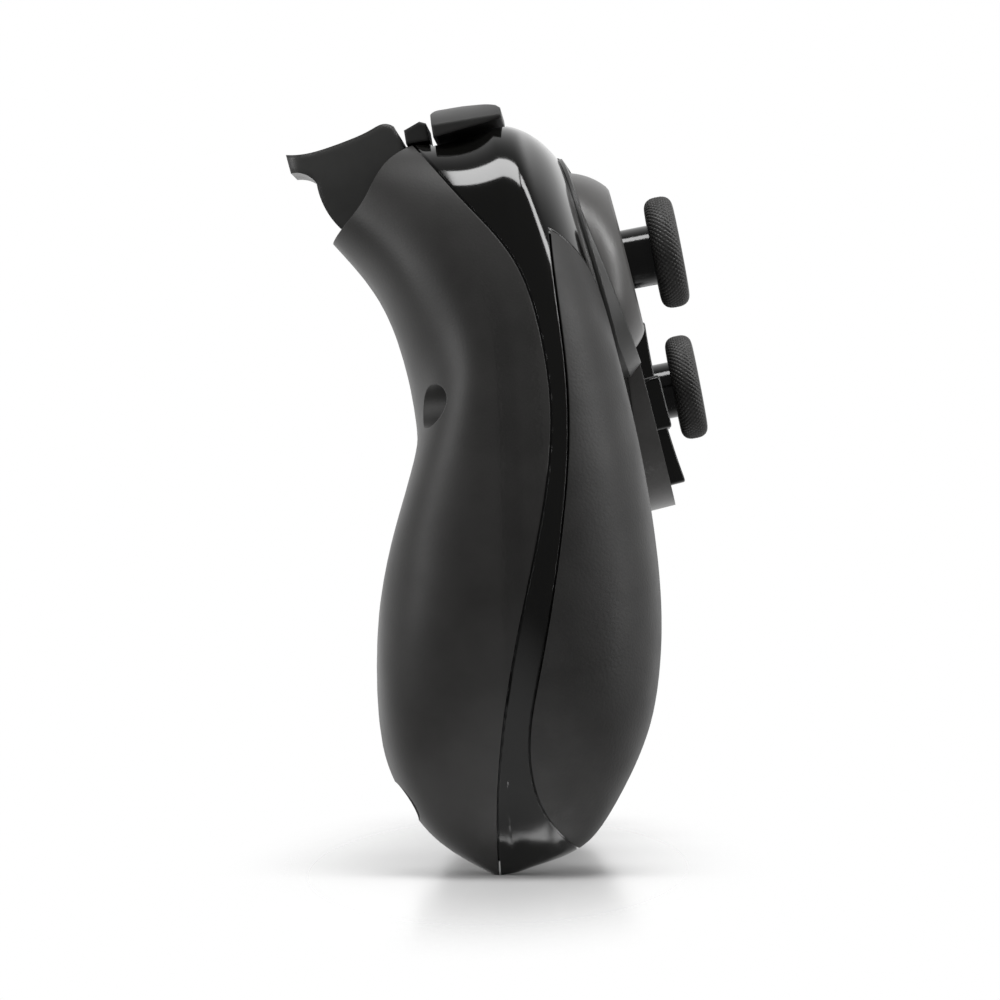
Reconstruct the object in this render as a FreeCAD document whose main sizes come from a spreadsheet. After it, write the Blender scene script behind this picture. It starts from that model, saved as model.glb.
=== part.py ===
import FreeCAD, Part
import math
import os
import re
import Sketcher
from FreeCAD import Placement, Rotation, Vector

# Driving dimensions, in millimetres and degrees

DIMENSIONS = [
    ("overall_width", 155.0, "width over both grips"),
    ("shoulder_reach", 52.3, "middle of the frame up to the shoulder edge"),
    ("grip_reach", 55.8, "middle of the frame down to the grip tips"),
    ("wall", 2.6, "shell wall, the grip panel included"),
    ("panel_skin", 1.2, "grip panel thickness"),
    ("reveal", 0.3, "width of the groove beside the seam and the grip panels"),
    ("reveal_depth", 0.5, "depth of that groove"),
    ("face_lean", 5.0, "lean of the pods and the direction pad"),
    ("board_lean", 1.6, "lean of the circuit board and the sticks"),
    ("board_height", 29.4, "board top above the table at the middle"),
    ("board_thick", 1.6, "board thickness"),
    ("running_gap", 0.05, "radial play of pins and shafts"),
    ("button_gap", 0.35, "play round buttons and caps"),
    ("stick_inset", 38.0, "left stick axis from the outer side"),
    ("stick_row", 29.4, "left stick axis above the middle"),
    ("right_stick_place", 18.0, "right stick axis from the centre line"),
    ("right_stick_row", 10.3, "right stick axis above the middle"),
    ("pivot_height", 6.5, "stick pivot above the board"),
    ("cap_radius", 8.3, "stick cap radius"),
    ("cap_height", 17.5, "stick cap middle above the pivot"),
    ("cap_thick", 4.4, "stick cap thickness"),
    ("column_radius", 4.45, "stick column radius"),
    ("rod_radius", 1.5, "stick rod radius"),
    ("skirt_radius", 10.3, "dome skirt on the stick, outer radius"),
    ("skirt_thick", 0.8, "dome skirt thickness"),
    ("skirt_angle", 54.0, "dome skirt half angle"),
    ("case_half", 6.5, "stick case half width"),
    ("pod_top_radius", 11.0, "stick pod, flat top radius"),
    ("pod_base_radius", 14.8, "stick pod, base radius"),
    ("pod_opening", 9.0, "stick pod, opening radius"),
    ("collar_radius", 16.9, "collar round the stick pod"),
    ("collar_proud", 0.5, "least height of a collar above the face"),
    ("pad_place", 20.0, "direction pad axis from the centre line"),
    ("pad_row", 8.3, "direction pad axis above the middle"),
    ("pad_height", 46.6, "direction pad base top above the table"),
    ("pad_base_radius", 15.5, "direction pad base radius"),
    ("pad_span", 25.0, "direction pad, tip to tip"),
    ("pad_arm", 8.2, "direction pad arm width"),
    ("pad_play", 0.5, "play round the direction pad's arms"),
    ("pad_proud", 2.3, "direction pad tips above the base"),
    ("cluster_inset", 35.0, "face button cluster from the outer side"),
    ("cluster_row", 31.0, "face button cluster above the middle"),
    ("cluster_height", 44.0, "button plate top above the table"),
    ("button_spread", 9.6, "face buttons from the cluster middle"),
    ("button_radius", 4.6, "face button radius"),
    ("cluster_rim", 2.8, "button plate outside the face buttons"),
    ("button_play", 0.25, "play round the face buttons"),
    ("button_proud", 2.6, "face buttons above their plate"),
    ("trigger_inset", 30.0, "trigger middle from the outer side"),
    ("trigger_width", 18.0, "trigger width"),
    ("trigger_row", 47.5, "trigger pin above the middle"),
    ("trigger_height", 15.5, "trigger pin above the table"),
    ("pin_radius", 1.0, "trigger pin radius"),
    ("bumper_width", 29.0, "bumper width"),
    ("motor_inset", 19.0, "motor axis from the outer side"),
    ("motor_height", 21.0, "motor axis above the table"),
    ("motor_radius", 7.3, "motor can radius"),
    ("motor_length", 18.0, "motor can length"),
    ("motor_row", 35.0, "motor back end above the grip screw"),
    ("weight_radius", 9.0, "eccentric weight radius"),
    ("weight_thick", 8.0, "eccentric weight thickness"),
    ("screw_recess", 3.05, "screw recess radius"),
    ("screw_radius", 1.25, "screw thread radius"),
    ("screw_head", 2.3, "screw head radius"),
    ("boss_radius", 2.4, "screw boss radius on the front shell"),
    ("battery_width", 46.0, "battery width"),
    ("battery_length", 30.0, "battery length"),
    ("battery_thick", 6.5, "battery thickness"),
]

doc = FreeCAD.newDocument("controller")
sheet = doc.addObject("Spreadsheet::Sheet", "dims")
for row, (alias, value, note) in enumerate(DIMENSIONS, start=1):
    sheet.set("A%d" % row, note)
    sheet.set("B%d" % row, str(value))
    sheet.setAlias("B%d" % row, alias)
doc.recompute()

NODES = {}


def size(expression):
    """Work out an expression in the sheet's names, such as 'wall + 2 * panel_skin'."""
    return float(sheet.evalExpression(expression))


def bound(expression):
    """Give the same expression with the sheet's name before each of its names."""
    return re.sub(r"[a-z]\w+", lambda word: "dims." + word.group(), expression)


# Frames: the board with the sticks leans a little, the face with its pods leans more

HALF = size("overall_width / 2")
BOARD = Placement(Vector(0, 0, size("board_height")), Rotation(Vector(1, 0, 0), -size("board_lean")))


def on_board(x, y, z=0.0):
    """A frame above the board's top, in the board's own directions."""
    return BOARD * Placement(Vector(x, y, z), Rotation())


def on_face(x, y, z):
    """A frame whose upward axis follows the leaning face."""
    return Placement(Vector(x, y, z), Rotation(Vector(1, 0, 0), -size("face_lean")))


STICKS = {
    "left": on_board(-(HALF - size("stick_inset")), size("stick_row"), size("pivot_height")),
    "right": on_board(size("right_stick_place"), size("right_stick_row"), size("pivot_height")),
}
PAD = on_face(-size("pad_place"), size("pad_row"), size("pad_height"))
CLUSTER = on_face(HALF - size("cluster_inset"), size("cluster_row"), size("cluster_height"))
CLUSTER_RADIUS = size("button_spread + button_radius + cluster_rim")
SIDES = {"left": -1, "right": 1}

# Helpers that make shapes


def cylinder(radius, low, high, frame=Placement()):
    """A cylinder along a frame's own upward axis, from low to high."""
    shape = Part.makeCylinder(radius, high - low, Vector(0, 0, low))
    shape.Placement = frame * shape.Placement
    return shape


def block(x_range, y_range, z_range, frame=Placement()):
    """A box between three pairs of coordinates in a frame."""
    corner = Vector(x_range[0], y_range[0], z_range[0])
    shape = Part.makeBox(x_range[1] - x_range[0], y_range[1] - y_range[0], z_range[1] - z_range[0], corner)
    shape.Placement = frame * shape.Placement
    return shape


def smooth_edge(points):
    """A smooth open curve through points."""
    curve = Part.BSplineCurve()
    curve.interpolate(Points=points)
    return curve.toShape()


def side_prism(edges, x_low, x_high):
    """Carry a closed outline in the side plane, made of edges, from one x to another."""
    face = Part.Face(Part.Wire(Part.__sortEdges__(edges)))
    face.translate(Vector(x_low, 0, 0))
    return face.extrude(Vector(x_high - x_low, 0, 0))


def side_points(pairs):
    """Turn pairs of y and z into points in the side plane."""
    return [Vector(0, y, z) for y, z in pairs]


def polyline(points, closed=False):
    """Straight edges from point to point."""
    ends = points[1:] + points[:1] if closed else points[1:]
    return [Part.LineSegment(a, b).toShape() for a, b in zip(points, ends)]


def mirrored(shape, side):
    """A shape modelled on the right, or its mirror image for the left."""
    return shape if side > 0 else shape.mirror(Vector(0, 0, 0), Vector(1, 0, 0))


# Helpers that make named pieces


def feature(label, shape, frame=None):
    """Keep a computed shape as a piece, at its frame if it has one of its own."""
    item = doc.addObject("Part::Feature", label)
    item.Label = label
    item.Shape = shape
    if frame is not None:
        item.Placement = frame
    NODES[label] = item
    return item


def sketch_outline(body, role, outline):
    """Draw a closed outline on one of a body's own planes, each corner bound to the sheet."""
    plane = next(item for item in body.Origin.OriginFeatures if item.Role == role)
    sketch = body.newObject("Sketcher::SketchObject", body.Name + "_outline")
    sketch.AttachmentSupport = [(plane, "")]
    sketch.MapMode = "FlatFace"
    corners = [Vector(size(x), size(y), 0) for x, y in outline]
    for k, corner in enumerate(corners):
        sketch.addGeometry(Part.LineSegment(corner, corners[(k + 1) % len(corners)]), False)
    for k, (x, y) in enumerate(outline):
        sketch.addConstraint(Sketcher.Constraint("Coincident", k, 2, (k + 1) % len(corners), 1))
        for axis, expression, number in (("DistanceX", x, corners[k].x), ("DistanceY", y, corners[k].y)):
            index = sketch.addConstraint(Sketcher.Constraint(axis, -1, 1, k, 1, number))
            sketch.setExpression("Constraints[%d]" % index, bound(expression))
    return sketch


def turned(label, outline, frame):
    """A body of revolution: an outline of radius and height turned about its upward axis."""
    body = doc.addObject("PartDesign::Body", label)
    body.Label = label
    sketch = sketch_outline(body, "XZ_Plane", outline)
    turn = body.newObject("PartDesign::Revolution", label + "_turn")
    turn.Profile = sketch
    turn.ReferenceAxis = (sketch, ["V_Axis"])
    turn.Angle = 360
    body.Placement = frame
    NODES[label] = body
    return body


def padded(label, outline, length, frame):
    """A flat piece: an outline in plan raised by a length bound to the sheet."""
    body = doc.addObject("PartDesign::Body", label)
    body.Label = label
    pad = body.newObject("PartDesign::Pad", label + "_pad")
    pad.Profile = sketch_outline(body, "XY_Plane", outline)
    pad.Length = size(length)
    pad.setExpression("Length", bound(length))
    body.Placement = frame
    NODES[label] = body
    return body


# The outer form is a bent tube. Each station is a cut across it, from the centre line to a grip
# tip: inner x and y, outer x and y (x as a share of the half width), inner and outer equator
# heights, crown to the front, crown to the back, back slope, back bump, and squareness.

STATIONS = [
    (0.000, -14.0, 0.000, 52.0, 30.0, 25.0, 16.5, 14.0, 0.0, 0.0, 3.6),
    (0.168, -14.0, 0.284, 52.3, 30.0, 25.0, 16.5, 14.0, 0.0, 2.0, 3.6),
    (0.284, -13.5, 0.575, 52.2, 30.0, 25.0, 16.2, 14.0, 0.0, 8.0, 3.5),
    (0.361, -14.0, 0.781, 50.8, 30.0, 25.5, 15.0, 14.0, 0.0, 12.0, 3.2),
    (0.413, -16.0, 0.903, 41.0, 30.0, 27.0, 14.5, 15.5, 0.0, 4.0, 2.9),
    (0.452, -20.0, 0.974, 22.0, 28.5, 28.5, 15.2, 17.4, -2.5, 0.0, 2.6),
    (0.490, -26.0, 1.002, 2.0, 26.0, 27.0, 17.2, 22.3, -2.0, 0.0, 2.4),
    (0.529, -33.0, 0.990, -17.0, 23.0, 24.5, 18.6, 22.7, 0.0, 0.0, 2.25),
    (0.574, -41.0, 0.941, -34.0, 20.5, 21.5, 17.7, 20.4, 0.0, 0.0, 2.15),
    (0.645, -49.5, 0.865, -46.5, 18.5, 18.5, 13.5, 13.7, 0.0, 0.0, 2.05),
    (0.716, -54.0, 0.806, -53.3, 17.0, 17.0, 8.8, 6.5, 0.0, 0.0, 2.0),
    (0.748, -55.7, 0.774, -55.7, 15.0, 15.0, 1.6, 1.6, 0.0, 0.0, 2.0),
]
STATION_STEPS = 2
RING = 20
BUMP_START = 0.5
BUMP_WIDTH = 0.35


def station_at(place):
    """A row between two stations, on a smooth curve through their neighbours."""
    last = len(STATIONS) - 1
    first = min(int(place), last - 1)
    f = place - first

    def row(k):
        if k < 0:
            x_in, y_in, x_out, y_out, *rest = STATIONS[-k]
            return [-x_in, y_in, -x_out, y_out] + rest
        if k > last:
            return [2 * a - b for a, b in zip(STATIONS[last], STATIONS[last - 1])]
        return STATIONS[k]

    rows = zip(row(first - 1), row(first), row(first + 1), row(first + 2))
    return [
        b + 0.5 * f * (c - a + f * (2 * a - 5 * b + 4 * c - d + f * (3 * (b - c) + d - a)))
        for a, b, c, d in rows
    ]


def reach(y):
    """Stretch a station's y by the reach above or below the middle."""
    if y > 0:
        return y * size("shoulder_reach") / 52.3
    return y * size("grip_reach") / 55.8


def cut_points(station, side, inset):
    """Points round one cut: a superellipse between its inner and outer plan points."""
    x_in, y_in, x_out, y_out, z_in, z_out, front, back, slope, bump, square = station
    x_in, x_out, y_in, y_out = x_in * HALF, x_out * HALF, reach(y_in), reach(y_out)
    length = math.hypot(x_out - x_in, y_out - y_in)
    points = []
    for k in range(RING + 1):
        angle = 2 * math.pi * (k + 0.5) / RING
        across = math.copysign(abs(math.cos(angle)) ** (2 / square), math.cos(angle))
        rise = abs(math.sin(angle)) ** (2 / square)
        q = 0.5 + across * (0.5 - inset / length)
        z = z_in + (z_out - z_in) * q
        if math.sin(angle) > 0:
            z += (front - inset) * rise
        else:
            hollow = max(0.0, q - BUMP_START) / BUMP_WIDTH
            z -= (back + slope * (2 * q - 1) + bump * hollow**2 - inset) * rise
        points.append(Vector(side * (x_in + (x_out - x_in) * q), y_in + (y_out - y_in) * q, z))
    return points


def form(inset):
    """The outer form as one closed solid, drawn in by inset, when it ends short of the grip tips."""
    last = (len(STATIONS) - 1) * STATION_STEPS
    if inset > 0:
        last -= STATION_STEPS
    grid = [
        cut_points(station_at(abs(k) / STATION_STEPS), -1 if k < 0 else 1, inset)
        for k in range(-last, last + 1)
    ]
    surface = Part.BSplineSurface()
    surface.interpolate(grid)
    u_low, u_high, v_low, v_high = surface.bounds()
    v_middle = (v_low + v_high) / 2
    halves = []
    for v_pair in ((v_low, v_middle), (v_middle, v_high)):
        half = surface.copy()
        half.segment(u_low, u_high, *v_pair)
        halves.append(half)
    faces = [half.toShape() for half in halves]
    for u in (u_low, u_high):
        faces.append(Part.Face(Part.Wire([half.uIso(u).toShape() for half in halves])))
    shell = Part.makeShell(faces)
    shell.sewShape(1e-4)
    solid = Part.makeSolid(Part.Shell(shell.Faces))
    if solid.Volume < 0:
        solid.reverse()
    return solid


OUTER = form(0)
OVER_FACE = form(-size("collar_proud"))
UNDER_PANEL = form(size("panel_skin"))
IN_WALL = form(size("(panel_skin + wall) / 2"))
CAVITY = form(size("wall"))
UNDER_REVEAL = form(size("reveal_depth"))

# Curves seen from the side, as y and z, and from the front, as x from the outer side and y

SEAM = [(60, 11.5), (49.5, 19.1), (41, 24.4), (31.2, 30.3), (20, 32.4), (8.5, 32.0),
        (-4.5, 28.7), (-23, 21.7), (-37, 17.2), (-60, 13.4)]
PANEL_EDGE = [(36, 36.4), (26, 35.8), (12.6, 35.2), (3.5, 33.9), (-6.2, 31.6), (-18, 28.0),
              (-27.6, 24.6), (-35.5, 21.9), (-43, 21.1), (-48.5, 22.3), (-53.1, 25.2), (-57, 29.5)]
PANEL_SIDE = [(5.5, 37), (14.5, 27.5), (23, 18.5), (29.5, 7), (35.5, -4), (42, -14), (52, -23)]
TRIGGER_EDGE = [(38, 4.2), (40, 6.6), (43.2, 10.3), (47.8, 13.9), (50, 17.2), (50.6, 19.0)]
FAR = 90


def stretched(pairs):
    """Side or plan points whose y follows the reach of the shoulders and grips."""
    return [(reach(a), b) for a, b in pairs]


def moved_square(points, distance):
    """Points of a curve in the side plane, each moved square to the curve."""
    moved = []
    for k, point in enumerate(points):
        along = (points[min(k + 1, len(points) - 1)] - points[max(k - 1, 0)]).normalize()
        moved.append(point + Vector(0, along.z, -along.y) * distance)
    return moved


def behind_seam(shift=0.0):
    """Everything behind the seam between rear cover and front shell, moved forward by shift."""
    points = moved_square(side_points(stretched(SEAM)), shift)
    floor = side_points([(points[-1].y, -FAR), (points[0].y, -FAR)])
    edges = [smooth_edge(points)] + polyline([points[-1]] + floor + [points[0]])
    return side_prism(edges, -FAR, FAR)


def grip_region(side, margin=0.0):
    """The stretch of the outer form that one grip panel covers, wider all round by margin."""
    points = moved_square(side_points(stretched(PANEL_EDGE)), -margin)
    front = side_points([(points[-1].y, FAR), (points[0].y, FAR)])
    region = side_prism([smooth_edge(points)] + polyline([points[-1]] + front + [points[0]]), 0, FAR)
    border = [Vector(HALF - inset - margin, reach(y), 0) for inset, y in PANEL_SIDE]
    corners = [border[-1], Vector(border[-1].x, -FAR, 0), Vector(FAR, -FAR, 0), Vector(FAR, border[0].y, 0)]
    face = Part.Face(Part.Wire(Part.__sortEdges__([smooth_edge(border)] + polyline(corners + [border[0]]))))
    return mirrored(region.common(face.extrude(Vector(0, 0, FAR))), side)


def trigger_gap(x_low, x_high):
    """The space above the rear cover's edge, where a trigger swings."""
    points = side_points(stretched(TRIGGER_EDGE))
    around = side_points([(FAR, points[-1].z), (FAR, -FAR), (points[0].y - 8, -FAR)])
    edges = [smooth_edge(points)] + polyline([points[-1]] + around + [points[0]])
    return side_prism(edges, x_low, x_high)


def skirt_room():
    """The room round the trigger's pin for its skirt, between the cheeks and under the bar."""
    pin = Vector(TRIGGER_LOW - TRIGGER_PLAY, size("trigger_row"), size("trigger_height"))
    width = TRIGGER_HIGH - TRIGGER_LOW + 2 * TRIGGER_PLAY
    round_room = Part.makeCylinder(SKIRT_ARC + 0.4, width, pin, Vector(1, 0, 0))
    return round_room.common(block((0, FAR), (0, FAR), (-FAR, BAR_LOW)))


def front_height(x, y):
    """The height of the outer form's front above the table at a plan point."""
    line = Part.makeLine(Vector(x, y, 25), Vector(x, y, FAR))
    return OUTER.common(line).BoundBox.ZMax


def surface_frame(x, y):
    """A frame on the front of the outer form, leaning as the form does there."""
    rise = front_height(x, y - 1) - front_height(x, y + 1)
    lean = math.degrees(math.atan2(rise, 2))
    return Placement(Vector(x, y, front_height(x, y)), Rotation(Vector(1, 0, 0), -lean))


BEHIND_SEAM = behind_seam()
POD_LIFT = 11.45


def pod_frame(name):
    """The face's own frame at the top of a stick pod, on the stick's axis."""
    top = STICKS[name].multVec(Vector(0, 0, POD_LIFT))
    return on_face(top.x, top.y, top.z)


PODS = {name: pod_frame(name) for name in STICKS}
TRIGGER_MIDDLE = HALF - size("trigger_inset")
TRIGGER_LOW = TRIGGER_MIDDLE - size("trigger_width / 2")
TRIGGER_HIGH = TRIGGER_MIDDLE + size("trigger_width / 2")
TRIGGER_PLAY = 0.5
SKIRT_ARC = 11.7
CHEEK = 2.0
TRAY_FOOT = size("wall") + 15.2
TRAY_WALL = 1.4
BAR_LOW, BAR_HIGH = 17.6, 20.9
NOTCH_LOW, NOTCH_HIGH = 21.3, 32.3
BUMPER_HIGH = HALF - 17.0
BUMPER_LOW = BUMPER_HIGH - size("bumper_width")
BUMPER_FOOT = 51.0
BUMPER_RISE = 1.2
BUMPER_ROOM = 1.1
SWITCH_SPOT = BUMPER_HIGH - 9.0
SWITCH_FRONT = 45.8
PLUNGER_REACH = 4.4
TONGUE = 5.0
TONGUE_LOW, TONGUE_HIGH = 24.0, 30.0
BUMPER_PIN_ROW = 48.1
PORT_HALF, PORT_THICK, PORT_WALL = 4.5, 3.2, 0.35
PLATE_SKIRT = 1.4

# Screws: x from the centre line, y, and the height of the ledge under the head's seat

GRIP_SCREW_ROW = -43.0
SCREWS = [
    (HALF - 7.0, 12.5, 24.0),
    (HALF - 18.9, GRIP_SCREW_ROW, 12.0),
    (27.0, 42.5, 20.0),
    (0.0, -7.5, 24.0),
]
LEDGE = 2.0
SCREW_GRIP = 8.0
SCREW_HEAD_THICK = 1.7


MOTOR_ROW = reach(GRIP_SCREW_ROW) + size("motor_row")


def screw_places():
    """Every screw, mirrored where it isn't on the centre line."""
    for x, y, ledge in SCREWS:
        yield x, reach(y), ledge
        if x > 0:
            yield -x, reach(y), ledge


def rear_boss(x, y, ledge):
    """A screw boss of the rear cover, as a solid to add and a recess to cut."""
    frame = Placement(Vector(x, y, 0), Rotation())
    added = cylinder(size("screw_recess") + 1.6, -FAR, ledge, frame).common(IN_WALL)
    recess = cylinder(size("screw_recess"), -FAR, ledge - LEDGE, frame)
    return added, recess.fuse(cylinder(size("screw_radius") + 0.15, -FAR, ledge + 1, frame))


def front_boss(x, y, ledge):
    """A screw boss of the front shell, with its bore."""
    frame = Placement(Vector(x, y, 0), Rotation())
    post = cylinder(size("boss_radius"), ledge, FAR, frame).common(IN_WALL)
    bore = cylinder(size("screw_radius + running_gap"), ledge - 1, ledge + SCREW_GRIP + 0.5, frame)
    return post.cut(bore)


def bumper_lugs():
    """Two lugs of the front shell that hold the right bumper's pin, above and below its tongue."""
    x, reach_in = BUMPER_LOW - TONGUE + 1.2, BUMPER_PIN_ROW - 1.7
    pairs = ((TONGUE_LOW - 2.4, TONGUE_LOW - 0.4), (TONGUE_HIGH + 0.4, TONGUE_HIGH + 2.4))
    return [block((x - 1.7, x + 1.7), (reach_in, 60), pair).common(IN_WALL) for pair in pairs]


def bumper_pin(play):
    """The right bumper's pin as a rod between its lugs' outer faces, wider by play."""
    spot = Placement(Vector(BUMPER_LOW - TONGUE + 1.2, BUMPER_PIN_ROW, 0), Rotation())
    return cylinder(size("pin_radius") + play, TONGUE_LOW - 2.4, TONGUE_HIGH + 2.4, spot)


def shoulder_cuts(side):
    """The notch for a bumper, the groove for its tongue, the slot for the bar and the switch's hole."""
    floor = BUMPER_FOOT - BUMPER_ROOM
    corners = side_points([(floor, NOTCH_LOW), (floor + BUMPER_RISE, NOTCH_HIGH), (FAR, NOTCH_HIGH),
                           (FAR, NOTCH_LOW)])
    notch = side_prism(polyline(corners, closed=True), BUMPER_LOW - 0.4, FAR)
    slit = block((BUMPER_LOW - 0.4, BUMPER_LOW + 3.4), (40, FAR), (TONGUE_LOW - 0.4, TONGUE_HIGH + 0.4))
    slot = block((TRIGGER_LOW - CHEEK, TRIGGER_HIGH + 1.2), (45, FAR), (BAR_LOW, NOTCH_LOW))
    groove = block((BUMPER_LOW - TONGUE - 1, BUMPER_LOW + 3.4), (40, BUMPER_PIN_ROW + 2.1),
                   (TONGUE_LOW - 0.4, TONGUE_HIGH + 0.4))
    hole = block((SWITCH_SPOT - 1.7, SWITCH_SPOT + 1.7), (SWITCH_FRONT, FAR), (28.3, 31.7))
    return mirrored(notch.fuse([slit, slot, groove, hole]), side)


def front_openings():
    """Everything that is cut through the front shell's face."""
    cuts = [cylinder(size("pod_base_radius") - 1.7, -16, 20, frame) for frame in PODS.values()]
    cuts.append(cylinder(size("pad_base_radius") - 2, -16, 20, PAD))
    cuts.append(cylinder(CLUSTER_RADIUS - PLATE_SKIRT + 0.2, -16, 20, CLUSTER))
    for name, (frame, half_x, half_y) in KEYS.items():
        play = size("button_gap")
        cuts.append(rounded_key(half_x + play, half_y + play, -9, 9).transformGeometry(frame.toMatrix()))
    return cuts


def rounded_key(half_x, half_y, low, high):
    """An upright prism with rounded ends, longer along x, or a disc where both halves match."""
    ends = half_x - half_y
    if ends <= 0:
        return cylinder(half_x, low, high)
    middle = block((-ends, ends), (-half_y, half_y), (low, high))
    for x in (-ends, ends):
        middle = middle.fuse(cylinder(half_y, low, high, Placement(Vector(x, 0, 0), Rotation())))
    return middle.removeSplitter()


# Small keys on the face: frame, half length and half width

KEYS = {
    "left_menu_key": (surface_frame(-12.0, 30.5), 4.2, 2.3),
    "right_menu_key": (surface_frame(12.0, 30.5), 4.2, 2.3),
    "home_key": (surface_frame(0.0, 37.0), 5.6, 5.6),
    "left_mode_key": (surface_frame(-7.0, 46.8), 3.0, 1.5),
    "right_mode_key": (surface_frame(7.0, 46.8), 3.0, 1.5),
    "status_lens": (surface_frame(0.0, 23.5), 5.0, 1.1),
}


def make_shells():
    """The front shell, the rear cover and the two grip panels."""
    front = OUTER.cut(CAVITY).cut(BEHIND_SEAM)
    for name, side in SIDES.items():
        room = grip_region(side).cut(UNDER_PANEL)
        feature(name + "_grip_panel", main_solid(OUTER.common(room)))
        groove = grip_region(side, size("reveal")).cut(UNDER_REVEAL)
        front = front.cut(room).cut(groove)
    front = front.cut(behind_seam(size("reveal")).cut(UNDER_REVEAL))
    for place in screw_places():
        front = front.fuse(front_boss(*place))
    for side in SIDES.values():
        front = front.fuse([mirrored(lug, side) for lug in bumper_lugs()])
    for side in SIDES.values():
        front = front.cut(shoulder_cuts(side)).cut(mirrored(bumper_pin(size("running_gap")), side))
    front = front.cut(front_openings())
    port = block((-PORT_HALF - 0.4, PORT_HALF + 0.4), (44, 60), (-0.4, PORT_THICK + 0.4), BOARD)
    feature("front_shell", main_solid(front.cut(port)))

    rear = OUTER.common(BEHIND_SEAM).cut(CAVITY)
    rear = rear.fuse([item.common(IN_WALL) for item in rear_ribs()])
    for side in SIDES.values():
        rear = rear.cut(mirrored(trigger_gap(TRIGGER_LOW - TRIGGER_PLAY, FAR).fuse(skirt_room()), side))
        rear = rear.fuse([mirrored(item, side) for item in trigger_cheeks()])
        rear = rear.cut(mirrored(trigger_bore(size("running_gap")), side))
        rear = rear.cut(shoulder_cuts(side))
    for place in screw_places():
        boss, recess = rear_boss(*place)
        rear = rear.fuse(boss).cut(recess)
    feature("rear_cover", main_solid(rear))


def main_solid(shape):
    """The largest solid of a shape, without slivers."""
    return max(shape.Solids, key=lambda solid: solid.Volume)


def trigger_cheeks():
    """The two walls beside the right trigger that hold its pin."""
    inner = block((TRIGGER_LOW - TRIGGER_PLAY - CHEEK, TRIGGER_LOW - TRIGGER_PLAY), (34, 60), (0, BAR_LOW))
    outer = block((TRIGGER_HIGH + TRIGGER_PLAY, FAR), (41, 60), (11, BAR_LOW)).cut(trigger_gap(0, FAR))
    return [inner.common(IN_WALL), outer.common(IN_WALL)]


def trigger_bore(play):
    """The line of the right trigger's pin as a rod, wider by play."""
    start = Vector(TRIGGER_LOW - CHEEK, size("trigger_row"), size("trigger_height"))
    length = TRIGGER_HIGH - TRIGGER_LOW + 2 * CHEEK
    return Part.makeCylinder(size("pin_radius") + play, length, start, Vector(1, 0, 0))


def rear_ribs():
    """Posts under the board, rails under the battery tray and cradle walls under the motors."""
    ribs = [block((x - 1, x + 1), (8, 32), (-FAR, TRAY_FOOT)) for x in (-16, 16)]
    for x, y in ((-31, 22), (31, 22), (-25, -3.5), (25, -3.5)):
        ribs.append(cylinder(2.0, -40, -size("board_thick"), on_board(x, y)))
    for side in SIDES.values():
        axis_x, axis_z = side * (HALF - size("motor_inset")), size("motor_height")
        for share in (0.2, 0.8):
            y = MOTOR_ROW - share * size("motor_length")
            wall = block((axis_x - 30, axis_x + 30), (y - 1, y + 1), (-FAR, axis_z))
            seat = Part.makeCylinder(size("motor_radius + running_gap"), 4, Vector(axis_x, y - 2, axis_z),
                                     Vector(0, 1, 0))
            ribs.append(wall.cut(seat))
    return [rib.common(BEHIND_SEAM) for rib in ribs]


# Stick modules: a case on the board, a yoke, a block in it, and the stick that slides in the block

YOKE_HALF, YOKE_OPENING, YOKE_RISE = 4.8, 3.2, 1.2
BLOCK_HALF_X, BLOCK_HALF_Y, BLOCK_RISE = 2.5, 2.8, 1.6
CASE_WALL = 1.2
YOKE_PIN, BLOCK_PIN = 0.8, 0.7
ROD_FOOT, NECK_FOOT, NECK_RADIUS = -2.7, 4.0, 2.5
BOWL_PLAY = 0.6
DISC_RADIUS, DISC_LOW, DISC_HIGH = 6.0, 16.2, 17.6
POD_FOOT, POD_WALL, POD_CHAMFER = -14.0, 1.2, 0.3
COLLAR_PLAY = 0.45
COLLAR_HEIGHT, COLLAR_SLOPE = 10.0, 0.62
COLLAR_DROP, COLLAR_LEAN = 3.55, 7.5


def rod_along(axis, radius, reach_each_way):
    """A rod through the origin along an axis, as long each way as asked."""
    return Part.makeCylinder(radius, 2 * reach_each_way, -reach_each_way * axis, axis)


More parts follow.
